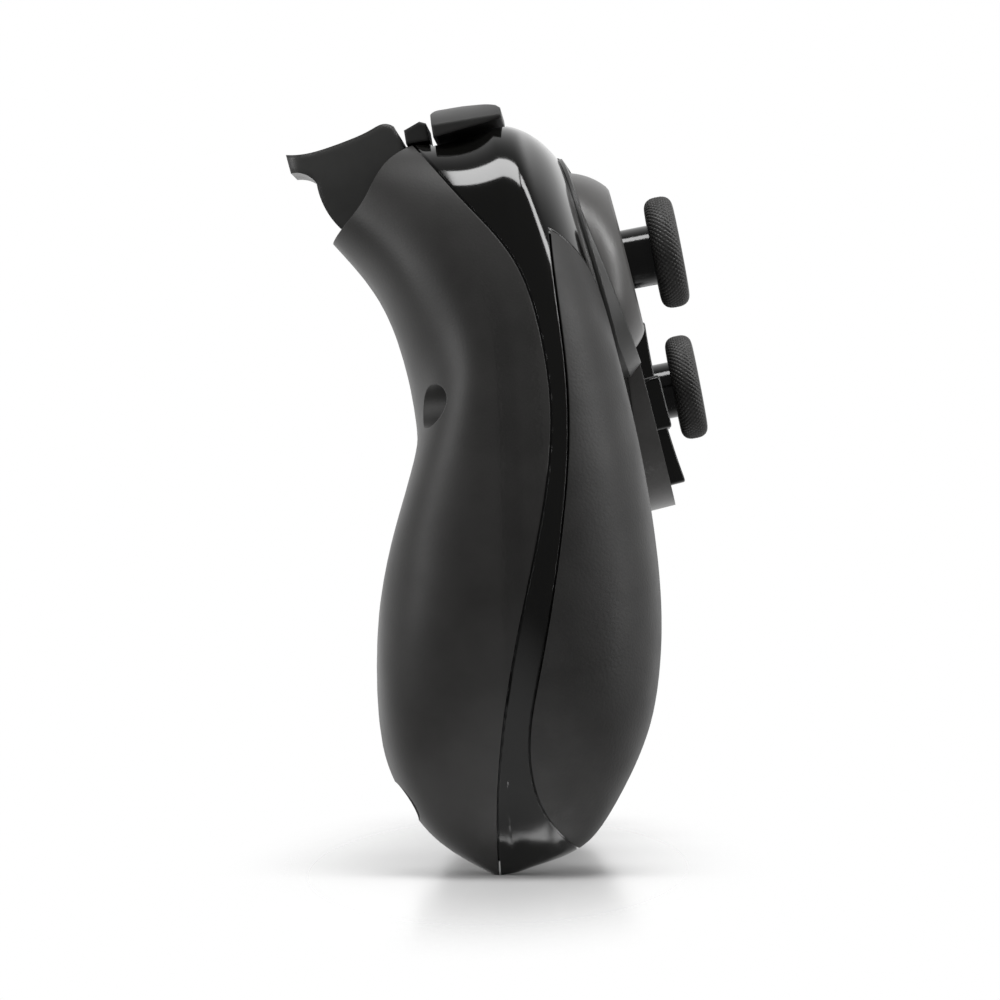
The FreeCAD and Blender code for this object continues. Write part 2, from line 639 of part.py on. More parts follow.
def make_stick(name, frame):
    """One stick module with its pod and collar."""
    x_axis, y_axis = Vector(1, 0, 0), Vector(0, 1, 0)
    play = size("running_gap")
    half, floor = size("case_half"), -size("pivot_height")

    case = block((-half, half), (-half, half), (floor, 1.0))
    case = case.cut(block((-half + CASE_WALL, half - CASE_WALL), (-half + CASE_WALL, half - CASE_WALL),
                          (floor + 1.0, 1.1)))
    case = case.cut(rod_along(x_axis, YOKE_PIN + play, half + 1))
    feature(name + "_stick_case", case, frame)

    switch = block((-2.2, 2.2), (-2.2, 2.2), (floor + 1.0, floor + 2.4))
    feature(name + "_click_switch", switch.fuse(cylinder(1.0, floor + 2.4, floor + 2.7)), frame)

    yoke = block((-YOKE_HALF, YOKE_HALF), (-YOKE_HALF, YOKE_HALF), (-YOKE_RISE, YOKE_RISE))
    yoke = yoke.fuse(rod_along(x_axis, YOKE_PIN, half - 0.2))
    yoke = yoke.cut(block((-YOKE_OPENING, YOKE_OPENING), (-YOKE_OPENING, YOKE_OPENING), (-3, 3)))
    feature(name + "_tilt_yoke", yoke.cut(rod_along(y_axis, BLOCK_PIN + play, half)), frame)

    pivot = block((-BLOCK_HALF_X, BLOCK_HALF_X), (-BLOCK_HALF_Y, BLOCK_HALF_Y), (-BLOCK_RISE, BLOCK_RISE))
    pivot = pivot.fuse(rod_along(y_axis, BLOCK_PIN, YOKE_HALF - 0.1))
    pivot = pivot.cut(cylinder(size("rod_radius") + play, -3, 3))
    feature(name + "_pivot_block", pivot, frame)

    make_stick_shaft(name, frame)
    make_stick_cap(name, frame)
    make_pod(name, frame, PODS[name])
    make_collar(name, PODS[name])


def make_stick_shaft(name, frame):
    """The rod, neck, column and dome skirt of a stick, in one piece."""
    outer, inner = size("skirt_radius"), size("skirt_radius - skirt_thick")
    angle = math.radians(size("skirt_angle"))
    skirt = Part.makeSphere(outer).cut(Part.makeSphere(inner))
    cone = Part.makeCone(0, 20 * math.tan(angle), 20)
    skirt = skirt.common(cone)
    shaft = cylinder(size("rod_radius"), ROD_FOOT, NECK_FOOT + 1)
    shaft = shaft.fuse([
        cylinder(NECK_RADIUS, NECK_FOOT, inner),
        cylinder(size("column_radius"), inner - 1.2, DISC_LOW + 0.1),
        cylinder(DISC_RADIUS, DISC_LOW, DISC_HIGH),
        skirt,
    ])
    feature(name + "_stick_shaft", shaft.removeSplitter(), frame)


def make_stick_cap(name, frame):
    """The rubber cap with its rounded rim and dished top, closed over the shaft's disc."""
    radius, middle = size("cap_radius"), size("cap_height")
    half = size("cap_thick / 2")
    rim = Part.makeTorus(radius - half, half, Vector(0, 0, middle))
    cap = rim.fuse(cylinder(radius - half, middle - half, middle + half - 0.2))
    dish_radius = 24.0
    dish = Part.makeSphere(dish_radius, Vector(0, 0, middle + half - 0.9 + dish_radius))
    cap = cap.cut(dish)
    room = cylinder(DISC_RADIUS, DISC_LOW, DISC_HIGH).fuse(cylinder(size("column_radius"), 0, DISC_LOW + 0.1))
    feature(name + "_stick_cap", cap.cut(room), frame)


def make_pod(name, stick, pod):
    """The raised pod round a stick: a domed side, a bowl for the skirt, and a spigot below."""
    top, base, spigot = size("pod_top_radius"), size("pod_base_radius"), size("pod_base_radius") - 2
    outline = [Vector(0, 0, POD_FOOT), Vector(spigot, 0, POD_FOOT), Vector(spigot, 0, -9),
               Vector(base + 0.4, 0, -9), Vector(base, 0, -6)]
    shoulder = Vector(top + POD_CHAMFER, 0, -POD_CHAMFER)
    side = Part.Arc(outline[-1], Vector((top + base) / 2 + 1.0, 0, -3.4), shoulder)
    edges = polyline(outline) + [side.toShape()]
    edges += polyline([shoulder, Vector(top - POD_CHAMFER, 0, 0), Vector(0, 0, 0), outline[0]])
    face = Part.Face(Part.Wire(Part.__sortEdges__(edges)))
    solid = face.revolve(Vector(0, 0, 0), Vector(0, 0, 1), 360)
    solid.Placement = pod
    bowl = Part.makeSphere(size("skirt_radius") + BOWL_PLAY)
    bowl.Placement = stick
    solid = solid.cut(bowl).cut(cylinder(size("pod_opening"), -30, 5, pod))
    solid = solid.cut(cylinder(spigot - POD_WALL, -30, -6, pod))
    seat = cylinder(base + 1, -30, 0, pod).cut(cylinder(spigot, -30, 0, pod)).common(OUTER)
    solid = solid.cut(seat).cut(face_rooms())
    feature(name + "_stick_pod", main_solid(solid))


def make_collar(name, pod):
    """The slim collar that rises from the face round the foot of a pod."""
    inner = size("pod_base_radius") + COLLAR_PLAY
    ring = cylinder(size("collar_radius"), -16, 4, pod).cut(cylinder(inner, -17, 5, pod))
    cone = Part.makeCone(inner + COLLAR_HEIGHT * COLLAR_SLOPE, inner, COLLAR_HEIGHT)
    cone.Placement = pod * Placement(Vector(0, 0, -COLLAR_DROP), Rotation(Vector(1, 0, 0), -COLLAR_LEAN))
    cone.Placement = cone.Placement * Placement(Vector(0, 0, -COLLAR_HEIGHT), Rotation())
    collar = OVER_FACE.common(ring).fuse(cone.common(ring)).cut(OUTER).cut(face_rooms())
    feature(name + "_pod_collar", main_solid(collar))


def face_rooms():
    """The space that the direction pad's base and the button plate take, with a little play."""
    pad = cylinder(size("pad_base_radius") + 0.3, -20, 20, PAD)
    return pad.fuse(cylinder(CLUSTER_RADIUS + 0.3, -20, 20, CLUSTER))


# Direction pad: a base, a rocker under the cross, and the cross with its plungers

PLUNGER_RING = 9.0
PLUNGER_RADIUS = 1.8
PLUNGER_FOOT = -13.9
PAD_FLOOR = -6.3
ROCKER_FOOT = -5.4
ARM_FOOT = -3.4
DISH_DEPTH = 0.7


def plus(half_span, half_arm, low, high):
    """Two crossed bars."""
    bars = block((-half_span, half_span), (-half_arm, half_arm), (low, high))
    return bars.fuse(block((-half_arm, half_arm), (-half_span, half_span), (low, high))).removeSplitter()


def plunger_places():
    """The four plungers' places in the pad's frame."""
    for x, y in ((1, 0), (-1, 0), (0, 1), (0, -1)):
        yield Placement(Vector(PLUNGER_RING * x, PLUNGER_RING * y, 0), Rotation())


def make_pad():
    """The direction pad."""
    base_radius, play = size("pad_base_radius"), size("pad_play")
    half_span, half_arm = size("pad_span / 2"), size("pad_arm / 2")
    base = cylinder(base_radius, -14, 0, PAD)
    seat = cylinder(base_radius + 1, -30, 0, PAD).cut(cylinder(base_radius - 2.1, -30, 0, PAD))
    base = base.cut(seat.common(OUTER))
    base = base.cut(cylinder(base_radius - 3.6, -15, PAD_FLOOR - 1.0, PAD))
    opening = plus(half_span + play, half_arm + play, PAD_FLOOR, 1)
    for place in plunger_places():
        opening = opening.fuse(cylinder(PLUNGER_RADIUS + play, PAD_FLOOR - 2, PAD_FLOOR + 1, place))
    opening.Placement = PAD
    post = cylinder(1.0, PAD_FLOOR - 0.5, ROCKER_FOOT - 0.2, PAD)
    feature("pad_base", main_solid(base.cut(opening).fuse(post)))

    cross = plus(half_span, half_arm, ARM_FOOT, size("pad_proud") + 1)
    vertical = [edge for edge in cross.Edges if abs(edge.tangentAt(edge.FirstParameter).z) > 0.9
                and edge.CenterOfMass.Length > half_span]
    cross = cross.makeFillet(1.2, vertical)
    dish_radius = (half_span**2 + DISH_DEPTH**2) / (2 * DISH_DEPTH)
    crown = size("pad_proud") - DISH_DEPTH
    cross = cross.cut(Part.makeSphere(dish_radius, Vector(0, 0, crown + dish_radius)))
    for place in plunger_places():
        cross = cross.fuse(cylinder(PLUNGER_RADIUS, PLUNGER_FOOT, ARM_FOOT + 0.5, place))
    feature("pad_cross", cross.fuse(cylinder(1.6, ARM_FOOT - 0.6, ARM_FOOT)).removeSplitter(), PAD)
    feature("pad_rocker", cylinder(2.6, ROCKER_FOOT, ROCKER_FOOT + 1.15), PAD)


# Face buttons, menu keys and their silicone sheets on the board

DOME = 2.6
SHEET = 0.8
BUTTONS = {"top_button": (0, 1), "right_button": (1, 0), "bottom_button": (0, -1), "left_button": (-1, 0)}
PLATE_THICK = 2.6


def make_cluster():
    """The plate of the face buttons and the four buttons."""
    radius = CLUSTER_RADIUS
    plate = Part.makeCone(radius, radius - 1.6, 6.5)
    plate.translate(Vector(0, 0, -6.5))
    plate = plate.fuse(cylinder(radius - PLATE_SKIRT, -9.5, -6.4))
    plate = plate.cut(cylinder(radius - PLATE_SKIRT - 0.5, -10, -PLATE_THICK))
    for x, y in BUTTONS.values():
        spot = Placement(Vector(x * size("button_spread"), y * size("button_spread"), 0), Rotation())
        plate = plate.cut(cylinder(size("button_radius + button_play"), -9, 1, spot))
    plate.Placement = CLUSTER
    seat = cylinder(radius + 1, -30, 0, CLUSTER).cut(cylinder(radius - PLATE_SKIRT, -30, 0, CLUSTER))
    feature("button_plate", main_solid(plate.cut(seat.common(OUTER))))

    outline = [("0", "-12"), ("3", "-12"), ("3", "-4.6"), ("button_radius + 0.6", "-4.6"),
               ("button_radius + 0.6", "-3.4"), ("button_radius", "-3.4"),
               ("button_radius", "button_proud - 0.9"), ("button_radius - 0.3", "button_proud - 0.35"),
               ("button_radius - 1.1", "button_proud"), ("button_radius / 2", "button_proud + 0.35"),
               ("0", "button_proud + 0.45")]
    for name, (x, y) in BUTTONS.items():
        spot = Placement(Vector(x * size("button_spread"), y * size("button_spread"), 0), Rotation())
        turned(name, outline, CLUSTER * spot)


KEY_PROUD = 1.2
KEY_PLAY = 0.2


def board_drop(frame):
    """The height of the board's top in a frame that stands on the face, on the frame's axis."""
    top = BOARD.inverse().multVec(frame.Base)
    axis = BOARD.inverse().Rotation.multVec(frame.Rotation.multVec(Vector(0, 0, 1)))
    return -top.z / axis.z


def make_keys():
    """The small keys and the lens on the face."""
    for name, (frame, half_x, half_y) in KEYS.items():
        if name == "status_lens":
            lens = rounded_key(half_x, half_y, -size("wall") - 0.6, 0.15)
            flange = rounded_key(half_x + 1, half_y + 1, -size("wall") - 1.6, -size("wall") - 0.6)
            feature(name, lens.fuse(flange), frame)
            continue
        lean = BOARD.Rotation.multVec(Vector(0, 0, 1)).getAngle(frame.Rotation.multVec(Vector(0, 0, 1)))
        stem_radius = min(half_x, half_y, 2.0)
        foot = board_drop(frame) + (DOME + KEY_PLAY) / math.cos(lean) + stem_radius * math.tan(lean)
        key = rounded_key(half_x, half_y, -size("wall") - 1.5, KEY_PROUD)
        flange = rounded_key(half_x + 0.9, half_y + 0.9, -size("wall") - 2.0, -size("wall") - 1.0)
        stem = cylinder(stem_radius, foot, -size("wall") - 1.2)
        upper = [edge for edge in key.Edges if edge.BoundBox.ZMin > KEY_PROUD - 0.01]
        feature(name, key.makeFillet(0.5, upper).fuse([flange, stem]).removeSplitter(), frame)


def domed_sheet(label, flat, places, dome_radius):
    """A silicone sheet on the board: a flat shape with a dome under each plunger."""
    sheet_solid = flat
    for x, y in places:
        dome = Part.makeCone(dome_radius, dome_radius - 1.2, DOME)
        dome.translate(Vector(x, y, 0))
        sheet_solid = sheet_solid.fuse(dome)
    feature(label, sheet_solid, BOARD)


def crossed_flat(middle, half_span, half_arm):
    """A flat cross on the board round a point."""
    flat = plus(half_span, half_arm, 0, SHEET)
    flat.translate(Vector(middle[0], middle[1], 0))
    return flat


def board_spot(frame, x=0.0, y=0.0):
    """Where a plunger of a leaning piece meets the board, in the board's plan."""
    start = BOARD.inverse().multVec(frame.multVec(Vector(x, y, 0)))
    axis = BOARD.inverse().Rotation.multVec(frame.Rotation.multVec(Vector(0, 0, 1)))
    drop = (start.z - DOME) / axis.z
    return start.x - drop * axis.x, start.y - drop * axis.y


def make_sheets():
    """The silicone sheets under the direction pad, the face buttons and the small keys."""
    ring = [(PLUNGER_RING, 0), (-PLUNGER_RING, 0), (0, PLUNGER_RING), (0, -PLUNGER_RING)]
    spots = [board_spot(PAD, x, y) for x, y in ring]
    middle = board_spot(PAD)
    domed_sheet("pad_membrane", crossed_flat(middle, 12.5, 4.0), spots, 2.9)
    spread = size("button_spread")
    spots = [board_spot(CLUSTER, x * spread, y * spread) for x, y in BUTTONS.values()]
    middle = board_spot(CLUSTER)
    domed_sheet("button_membrane", crossed_flat(middle, 13.2, 4.2), spots, 3.3)
    spots = [board_spot(frame) for name, (frame, _, _) in KEYS.items() if name.endswith("key")]
    domed_sheet("menu_membrane", block((-15.5, 15.5), (24, 43.4), (0, SHEET)), spots, 2.9)


# Shoulders: bumpers on their pins, triggers on theirs, springs, and the bar between them

TRIGGER_TOP = [(4.9, -15.5), (4.5, -12.7), (4.8, -9.5), (5.5, -5.8), (6.4, -2.6), (6.9, -1.0), (6.3, 0.7)]
SKIRT_WALL = 1.8
TRIGGER_SIDE = 1.8
TIP_CORNER = 4.0


def trigger_outline():
    """The trigger's side outline about its pin: hooked top, root, end of the skirt, skirt arc."""
    end = math.radians(217)
    middle = math.radians(243)
    arc = Part.Arc(Vector(0, SKIRT_ARC * math.cos(end), SKIRT_ARC * math.sin(end)),
                   Vector(0, SKIRT_ARC * math.cos(middle), SKIRT_ARC * math.sin(middle)),
                   Vector(0, 0, -SKIRT_ARC)).toShape()
    hook = Part.Arc(Vector(0, 0, -SKIRT_ARC), Vector(0, 1.4, -12.9), Vector(0, 2.1, -15.2)).toShape()
    top = smooth_edge(side_points(TRIGGER_TOP))
    root = polyline(side_points([TRIGGER_TOP[-1], (4.4, 1.5), (2.2, 1.7), (0, 2.3), (-2.8, 1.7)])
                    + [arc.Vertexes[0].Point])
    tip = polyline([Vector(0, 2.1, -15.2), Vector(0, *TRIGGER_TOP[0])])
    return [arc, hook, top] + root + tip


def trigger_face():
    """The trigger's outline from above: straight sides and round corners at the tip."""
    low, high, tip, r = TRIGGER_LOW, TRIGGER_HIGH, TRIGGER_TOP[0][1] - 1, TIP_CORNER
    bend = r * (1 - math.sqrt(0.5))

    def at(x, z):
        return Vector(x, -FAR, z)

    edges = [
        Part.Arc(at(low, tip + r), at(low + bend, tip + bend), at(low + r, tip)).toShape(),
        Part.Arc(at(high - r, tip), at(high - bend, tip + bend), at(high, tip + r)).toShape(),
    ]
    edges += polyline([at(low + r, tip), at(high - r, tip)])
    edges += polyline([at(high, tip + r), at(high, FAR), at(low, FAR), at(low, tip + r)])
    return Part.Face(Part.Wire(Part.__sortEdges__(edges))).extrude(Vector(0, 2 * FAR, 0))


def trigger_pocket():
    """The hollow behind the trigger's top, open towards the housing."""
    inner = SKIRT_ARC - SKIRT_WALL
    points = side_points([(-0.3, -inner), (1.9, -9.3), (2.6, -6.5), (3.6, -3.6), (4.0, -1.2), (3.2, 0.4),
                          (3.2, 6), (-14, 6), (-12, -5.5), (-7.9, -6.0)])
    arc = Part.Arc(points[-1], Vector(0, -inner * 0.5, -inner * 0.866), points[0]).toShape()
    return polyline(points) + [arc]


def make_shoulder(name, side):
    """Bumper, trigger, spring, bar and bumper switch of one shoulder."""
    pin = Vector(0, size("trigger_row"), size("trigger_height"))
    solid = side_prism(trigger_outline(), TRIGGER_LOW, TRIGGER_HIGH)
    solid = solid.common(trigger_face())
    pocket = side_prism(trigger_pocket(), TRIGGER_LOW + TRIGGER_SIDE, TRIGGER_HIGH - TRIGGER_SIDE)
    boss = Part.makeCylinder(2.3, TRIGGER_HIGH - TRIGGER_LOW, Vector(TRIGGER_LOW, 0, 0), Vector(1, 0, 0))
    solid = solid.cut(pocket).fuse(boss)
    solid.translate(pin)
    feature(name + "_trigger", mirrored(solid.cut(trigger_bore(size("running_gap"))), side))

    make_trigger_spring(name, side, pin)
    make_bumper(name, side)

    outline = side_points([(50.9, BAR_LOW), (52.9, BAR_LOW), (53.8, 20.0), (53.4, BAR_HIGH),
                           (50.9, BAR_HIGH)])
    bar = side_prism(polyline(outline, closed=True), TRIGGER_LOW - 1.8, TRIGGER_HIGH + 1.0)
    feature(name + "_shoulder_bar", mirrored(bar, side))

    body = block((-3, 3), (SWITCH_FRONT - 3.6, SWITCH_FRONT), (0, 4.0))
    plunger = Part.makeCylinder(1.2, PLUNGER_REACH, Vector(0, SWITCH_FRONT, 2.0), Vector(0, 1, 0))
    feature(name + "_bumper_switch", body.fuse(plunger), on_board(side * SWITCH_SPOT, 0))


SPRING_TURNS = 4
SPRING_WIRE = 0.25
SPRING_RADIUS = 2.65
SPRING_PITCH = 0.9


def coil_point(turn):
    """A point of the coil's middle line, so many turns along."""
    angle = 2 * math.pi * turn
    return Vector(SPRING_RADIUS * math.cos(angle), SPRING_RADIUS * math.sin(angle), SPRING_PITCH * turn)


def make_trigger_spring(name, side, pin):
    """A torsion spring round the trigger's boss: a leg, turns made of quarter-turn arcs, a leg."""
    turns = [quarter / 4 for quarter in range(4 * SPRING_TURNS)]
    arcs = [Part.Arc(coil_point(k), coil_point(k + 1 / 8), coil_point(k + 1 / 4)).toShape() for k in turns]
    first, last = coil_point(0), coil_point(SPRING_TURNS)
    lower_leg = Part.makeLine(first - Vector(0, 4.0, 0), first)
    upper_leg = Part.makeLine(last, last + Vector(0, 1.5, 0))
    section = Part.Wire(Part.makeCircle(SPRING_WIRE, lower_leg.Vertexes[0].Point, Vector(0, 1, 0)))
    spring = Part.Wire([lower_leg] + arcs + [upper_leg]).makePipeShell([section], True, False)
    turn = Rotation(Vector(0, -1, 0), Vector(0, 0, 1), Vector(-1, 0, 0), "XYZ")
    spring.Placement = Placement(Vector(TRIGGER_MIDDLE + 3, pin.y, pin.z), turn)
    feature(name + "_trigger_spring", mirrored(spring, side))


def make_bumper(name, side):
    """A crowned bumper with a tongue that runs under the shell to its pin."""
    outline = side_points([(BUMPER_FOOT, 21.7), (54.6, 21.7)])
    crown = side_points([(54.6, 21.7), (55.5, 22.8), (55.8, 24.2), (55.35, 27.0), (54.85, 30.0),
                         (54.4, 31.3)])
    front = side_points([(54.4, 31.3), (53.8, 31.9), (BUMPER_FOOT + BUMPER_RISE, 31.9),
                         (BUMPER_FOOT, 21.7)])
    body = side_prism(polyline(outline) + [smooth_edge(crown)] + polyline(front), BUMPER_LOW, BUMPER_HIGH)
    width = size("bumper_width")
    top = [Vector(BUMPER_LOW + share * width, y, 0)
           for share, y in ((0, 54.3), (0.17, 55.5), (0.42, 55.8), (0.7, 55.4), (0.9, 54.2), (1, 52.8))]
    foot = [top[-1], Vector(BUMPER_HIGH, 40, 0), Vector(BUMPER_LOW, 40, 0), top[0]]
    plan = Part.Face(Part.Wire(Part.__sortEdges__([smooth_edge(top)] + polyline(foot))))
    body = body.common(plan.extrude(Vector(0, 0, 60)))
    tall = (TONGUE_LOW, TONGUE_HIGH)
    tongue = block((BUMPER_LOW - TONGUE, BUMPER_LOW + 3), (BUMPER_PIN_ROW - 1, BUMPER_PIN_ROW + 1), tall)
    web = block((BUMPER_LOW + 0.5, BUMPER_LOW + 3), (BUMPER_PIN_ROW - 1, BUMPER_FOOT + BUMPER_RISE + 0.8),
                tall)
    pivot = Placement(Vector(BUMPER_LOW - TONGUE + 1.2, BUMPER_PIN_ROW, 0), Rotation())
    body = body.fuse([tongue, web, cylinder(1.7, *tall, pivot)])
    feature(name + "_bumper", mirrored(body.cut(bumper_pin(size("running_gap"))), side))


def make_pins():
    """The two trigger pins and the two bumper pins."""
    rods = [mirrored(trigger_bore(0), side) for side in SIDES.values()]
    feature("trigger_pins", Part.makeCompound(rods))
    rods = [mirrored(bumper_pin(0), side) for side in SIDES.values()]
    feature("bumper_pins", Part.makeCompound(rods))


# Inside: board, battery, tray, motors, weights, charging port and screws

BOARD_OUTLINE = [(-20, -6), (20, -6), (34, 1), (50, 14), (56, 24), (56, 39), (54.5, 45.9),
                 (-54.5, 45.9), (-56, 39), (-56, 24), (-50, 14), (-34, 1)]


def make_inside():
    """The parts that the shells close round."""
    outline = [("%g" % x, "%g" % y) for x, y in BOARD_OUTLINE]
    board = padded("main_board", outline, "board_thick",
                   BOARD * Placement(Vector(0, 0, -size("board_thick")), Rotation()))
    cut_board_holes(board)

    low = TRAY_FOOT + 1.0
    width, length = size("battery_width / 2"), size("battery_length / 2")
    middle = 20
    cell = padded("battery", [("-battery_width / 2", "-battery_length / 2"),
                              ("battery_width / 2", "-battery_length / 2"),
                              ("battery_width / 2", "battery_length / 2"),
                              ("-battery_width / 2", "battery_length / 2")],
                  "battery_thick", Placement(Vector(0, middle, low), Rotation()))
    outer, inner = width + TRAY_WALL, width + 0.1
    tray = block((-outer, outer), (middle - length - TRAY_WALL, middle + length + TRAY_WALL),
                 (TRAY_FOOT, low + 3))
    tray = tray.cut(block((-inner, inner), (middle - length - 0.1, middle + length + 0.1), (low, 30)))
    feature("battery_tray", tray)

    port = block((-PORT_HALF, PORT_HALF), (44.0, 51.2), (0, PORT_THICK), BOARD)
    mouth = PORT_HALF - PORT_WALL
    port = port.cut(block((-mouth, mouth), (45.0, 52), (PORT_WALL, PORT_THICK - PORT_WALL), BOARD))
    feature("usb_port", port.fuse(block((-3.2, 3.2), (44.5, 49.8), (1.25, 1.95), BOARD)))

    make_motors()
    heads = []
    for x, y, ledge in screw_places():
        spot = Placement(Vector(x, y, 0), Rotation())
        head = cylinder(size("screw_head"), ledge - LEDGE - SCREW_HEAD_THICK, ledge - LEDGE, spot)
        slot = block((-1.6, 1.6), (-0.3, 0.3), (-9, ledge - LEDGE - SCREW_HEAD_THICK + 0.8), spot)
        cross = block((-0.3, 0.3), (-1.6, 1.6), (-9, ledge - LEDGE - SCREW_HEAD_THICK + 0.8), spot)
        thread = cylinder(size("screw_radius"), ledge - LEDGE, ledge + SCREW_GRIP, spot)
        heads.append(head.fuse(thread).cut(slot).cut(cross))
    feature("case_screws", Part.makeCompound(heads))


def cut_board_holes(board):
    """Holes in the board for the screw posts that pass it."""
    plane = next(item for item in board.Origin.OriginFeatures if item.Role == "XY_Plane")
    sketch = board.newObject("Sketcher::SketchObject", "board_holes")
    sketch.AttachmentSupport = [(plane, "")]
    sketch.MapMode = "FlatFace"
    for x, y, ledge in screw_places():
        if abs(x) < 40:
            circle = Part.Circle(Vector(x, y, 0), Vector(0, 0, 1), size("boss_radius") + 0.4)
            index = sketch.addGeometry(circle, False)
            rule = sketch.addConstraint(Sketcher.Constraint("Radius", index, size("boss_radius") + 0.4))
            sketch.setExpression("Constraints[%d]" % rule, bound("boss_radius + 0.4"))
    pocket = board.newObject("PartDesign::Pocket", "board_pocket")
    pocket.Profile = sketch
    pocket.Type = "ThroughAll"
    pocket.Reversed = True


def make_motors():
    """Two vibration motors, each with an eccentric weight on its shaft."""
    radius, length = size("motor_radius"), size("motor_length")
    for name, side in SIDES.items():
        start = Vector(side * (HALF - size("motor_inset")), MOTOR_ROW, size("motor_height"))
        down = Vector(0, -1, 0)
        can = Part.makeCylinder(radius, length, start, down)
        nose = Part.makeCylinder(2.2, 1.0, start + down * length, down)
        tail = Part.makeCylinder(3.0, 1.0, start + down * -1.0, down)
        bore = Part.makeCylinder(1.0 + size("running_gap"), 5.0, start + down * (length - 3.5), down)
        feature(name + "_motor", can.fuse([nose, tail]).cut(bore))
        shaft = Part.makeCylinder(1.0, 4.0 + size("weight_thick"), start + down * (length - 3.0), down)
        begin = start + down * (length + 2.0)
        disc = Part.makeCylinder(size("weight_radius"), size("weight_thick"), begin, down)
        half = block((begin.x - 20, begin.x + 20), (begin.y - 20, begin.y + 1), (begin.z - 20, begin.z + 1.2))
        hub = Part.makeCylinder(2.4, size("weight_thick"), begin, down)
        feature(name + "_motor_weight", disc.common(half).fuse([hub, shaft]).removeSplitter())


def write_parts():
    """Check every object and piece, then write one file per piece."""
    doc.recompute()
    for item in doc.Objects:
        if "Invalid" in item.State or "Error" in item.State:
            raise RuntimeError("failed object: " + item.Label)
    for label, item in NODES.items():
        if item.Shape.isNull() or not item.Shape.isValid():
            raise RuntimeError("bad shape: " + label)
    os.makedirs("parts", exist_ok=True)
    for label, item in NODES.items():
        item.Shape.exportStep("parts/" + label + ".step")


make_shells()
for stick_name, stick_frame in STICKS.items():
    make_stick(stick_name, stick_frame)
make_pad()
make_cluster()
make_keys()
make_sheets()
for shoulder_name, shoulder_side in SIDES.items():
    make_shoulder(shoulder_name, shoulder_side)
make_pins()
make_inside()
write_parts()
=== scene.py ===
import math

import bmesh
import bpy
import numpy as np
from mathutils import Matrix, Vector
from mathutils.bvhtree import BVHTree


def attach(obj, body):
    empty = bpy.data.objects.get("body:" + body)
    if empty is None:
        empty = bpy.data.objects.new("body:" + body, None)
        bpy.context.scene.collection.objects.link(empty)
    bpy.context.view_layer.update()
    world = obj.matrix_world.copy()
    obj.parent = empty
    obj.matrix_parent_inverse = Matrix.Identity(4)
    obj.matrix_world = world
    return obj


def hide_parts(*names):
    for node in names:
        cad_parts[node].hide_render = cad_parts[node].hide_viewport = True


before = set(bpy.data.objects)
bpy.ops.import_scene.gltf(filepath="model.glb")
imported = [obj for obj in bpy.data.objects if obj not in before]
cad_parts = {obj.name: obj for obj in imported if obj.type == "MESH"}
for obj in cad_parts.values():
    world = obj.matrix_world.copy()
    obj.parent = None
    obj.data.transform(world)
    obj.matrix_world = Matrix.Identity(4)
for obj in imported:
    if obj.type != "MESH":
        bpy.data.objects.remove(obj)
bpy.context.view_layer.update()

scene = bpy.context.scene
scene.view_settings.view_transform = "Standard"
MM = 0.001


# Helpers: colours, nodes and meshes


def srgb(code):
    """A hex colour as linear red, green, blue and alpha."""
    parts = [int(code[k:k + 2], 16) / 255 for k in (1, 3, 5)]
    return [c / 12.92 if c <= 0.04045 else ((c + 0.055) / 1.055) ** 2.4 for c in parts] + [1.0]


def add(tree, kind, inputs=(), **settings):
    """Add a node: settings are its own properties, inputs are values or other nodes' outputs."""
    node = tree.nodes.new("ShaderNode" + kind)
    for name, value in settings.items():
        setattr(node, name, value)
    for name, value in dict(inputs).items():
        if isinstance(value, bpy.types.NodeSocket):
            tree.links.new(value, node.inputs[name])
        else:
            node.inputs[name].default_value = value
    return node


def new_material(name):
    """A material with its own shader, the node tree, and its Object coordinates."""
    material = bpy.data.materials.new(name)
    material.use_nodes = True
    tree = material.node_tree
    return material, tree, tree.nodes["Principled BSDF"], add(tree, "TexCoord").outputs["Object"]


def settle(shader, **values):
    """Set uniform values on the shader's own sockets."""
    for name, value in values.items():
        shader.inputs[name.replace("_", " ")].default_value = value


def scale_of(millimetres):
    """Noise or cell scale whose features are about this many millimetres across."""
    return 1000 / millimetres


def mottle(tree, place, dark, light, size):
    """Two close colours mixed by a soft noise with features of the given size in millimetres."""
    noise = add(tree, "TexNoise", {"Vector": place, "Scale": scale_of(size), "Detail": 3.0})
    ramp = add(tree, "ValToRGB", {"Fac": noise.outputs["Fac"]})
    ramp.color_ramp.elements[0].position = 0.35
    ramp.color_ramp.elements[0].color = srgb(dark)
    ramp.color_ramp.elements[1].position = 0.65
    ramp.color_ramp.elements[1].color = srgb(light)
    return ramp.outputs["Color"]


def varied(tree, place, low, high, size):
    """A value that wanders softly between low and high over the given size in millimetres."""
    noise = add(tree, "TexNoise", {"Vector": place, "Scale": scale_of(size), "Detail": 4.0})
    spread = add(tree, "MapRange", {"Value": noise.outputs["Fac"], "From Min": 0.35, "From Max": 0.65,
                                    "To Min": low, "To Max": high})
    return spread.outputs["Result"]


def softened(tree, edge, height, depth):
    """Normals that round every sharp edge by so many millimetres, with a fine relief on top."""
    bevel = add(tree, "Bevel", {"Radius": edge * MM}, samples=6)
    bump = add(tree, "Bump", {"Height": height, "Distance": depth * MM, "Strength": 1.0,
                              "Normal": bevel.outputs["Normal"]})
    return bump.outputs["Normal"]


# Materials


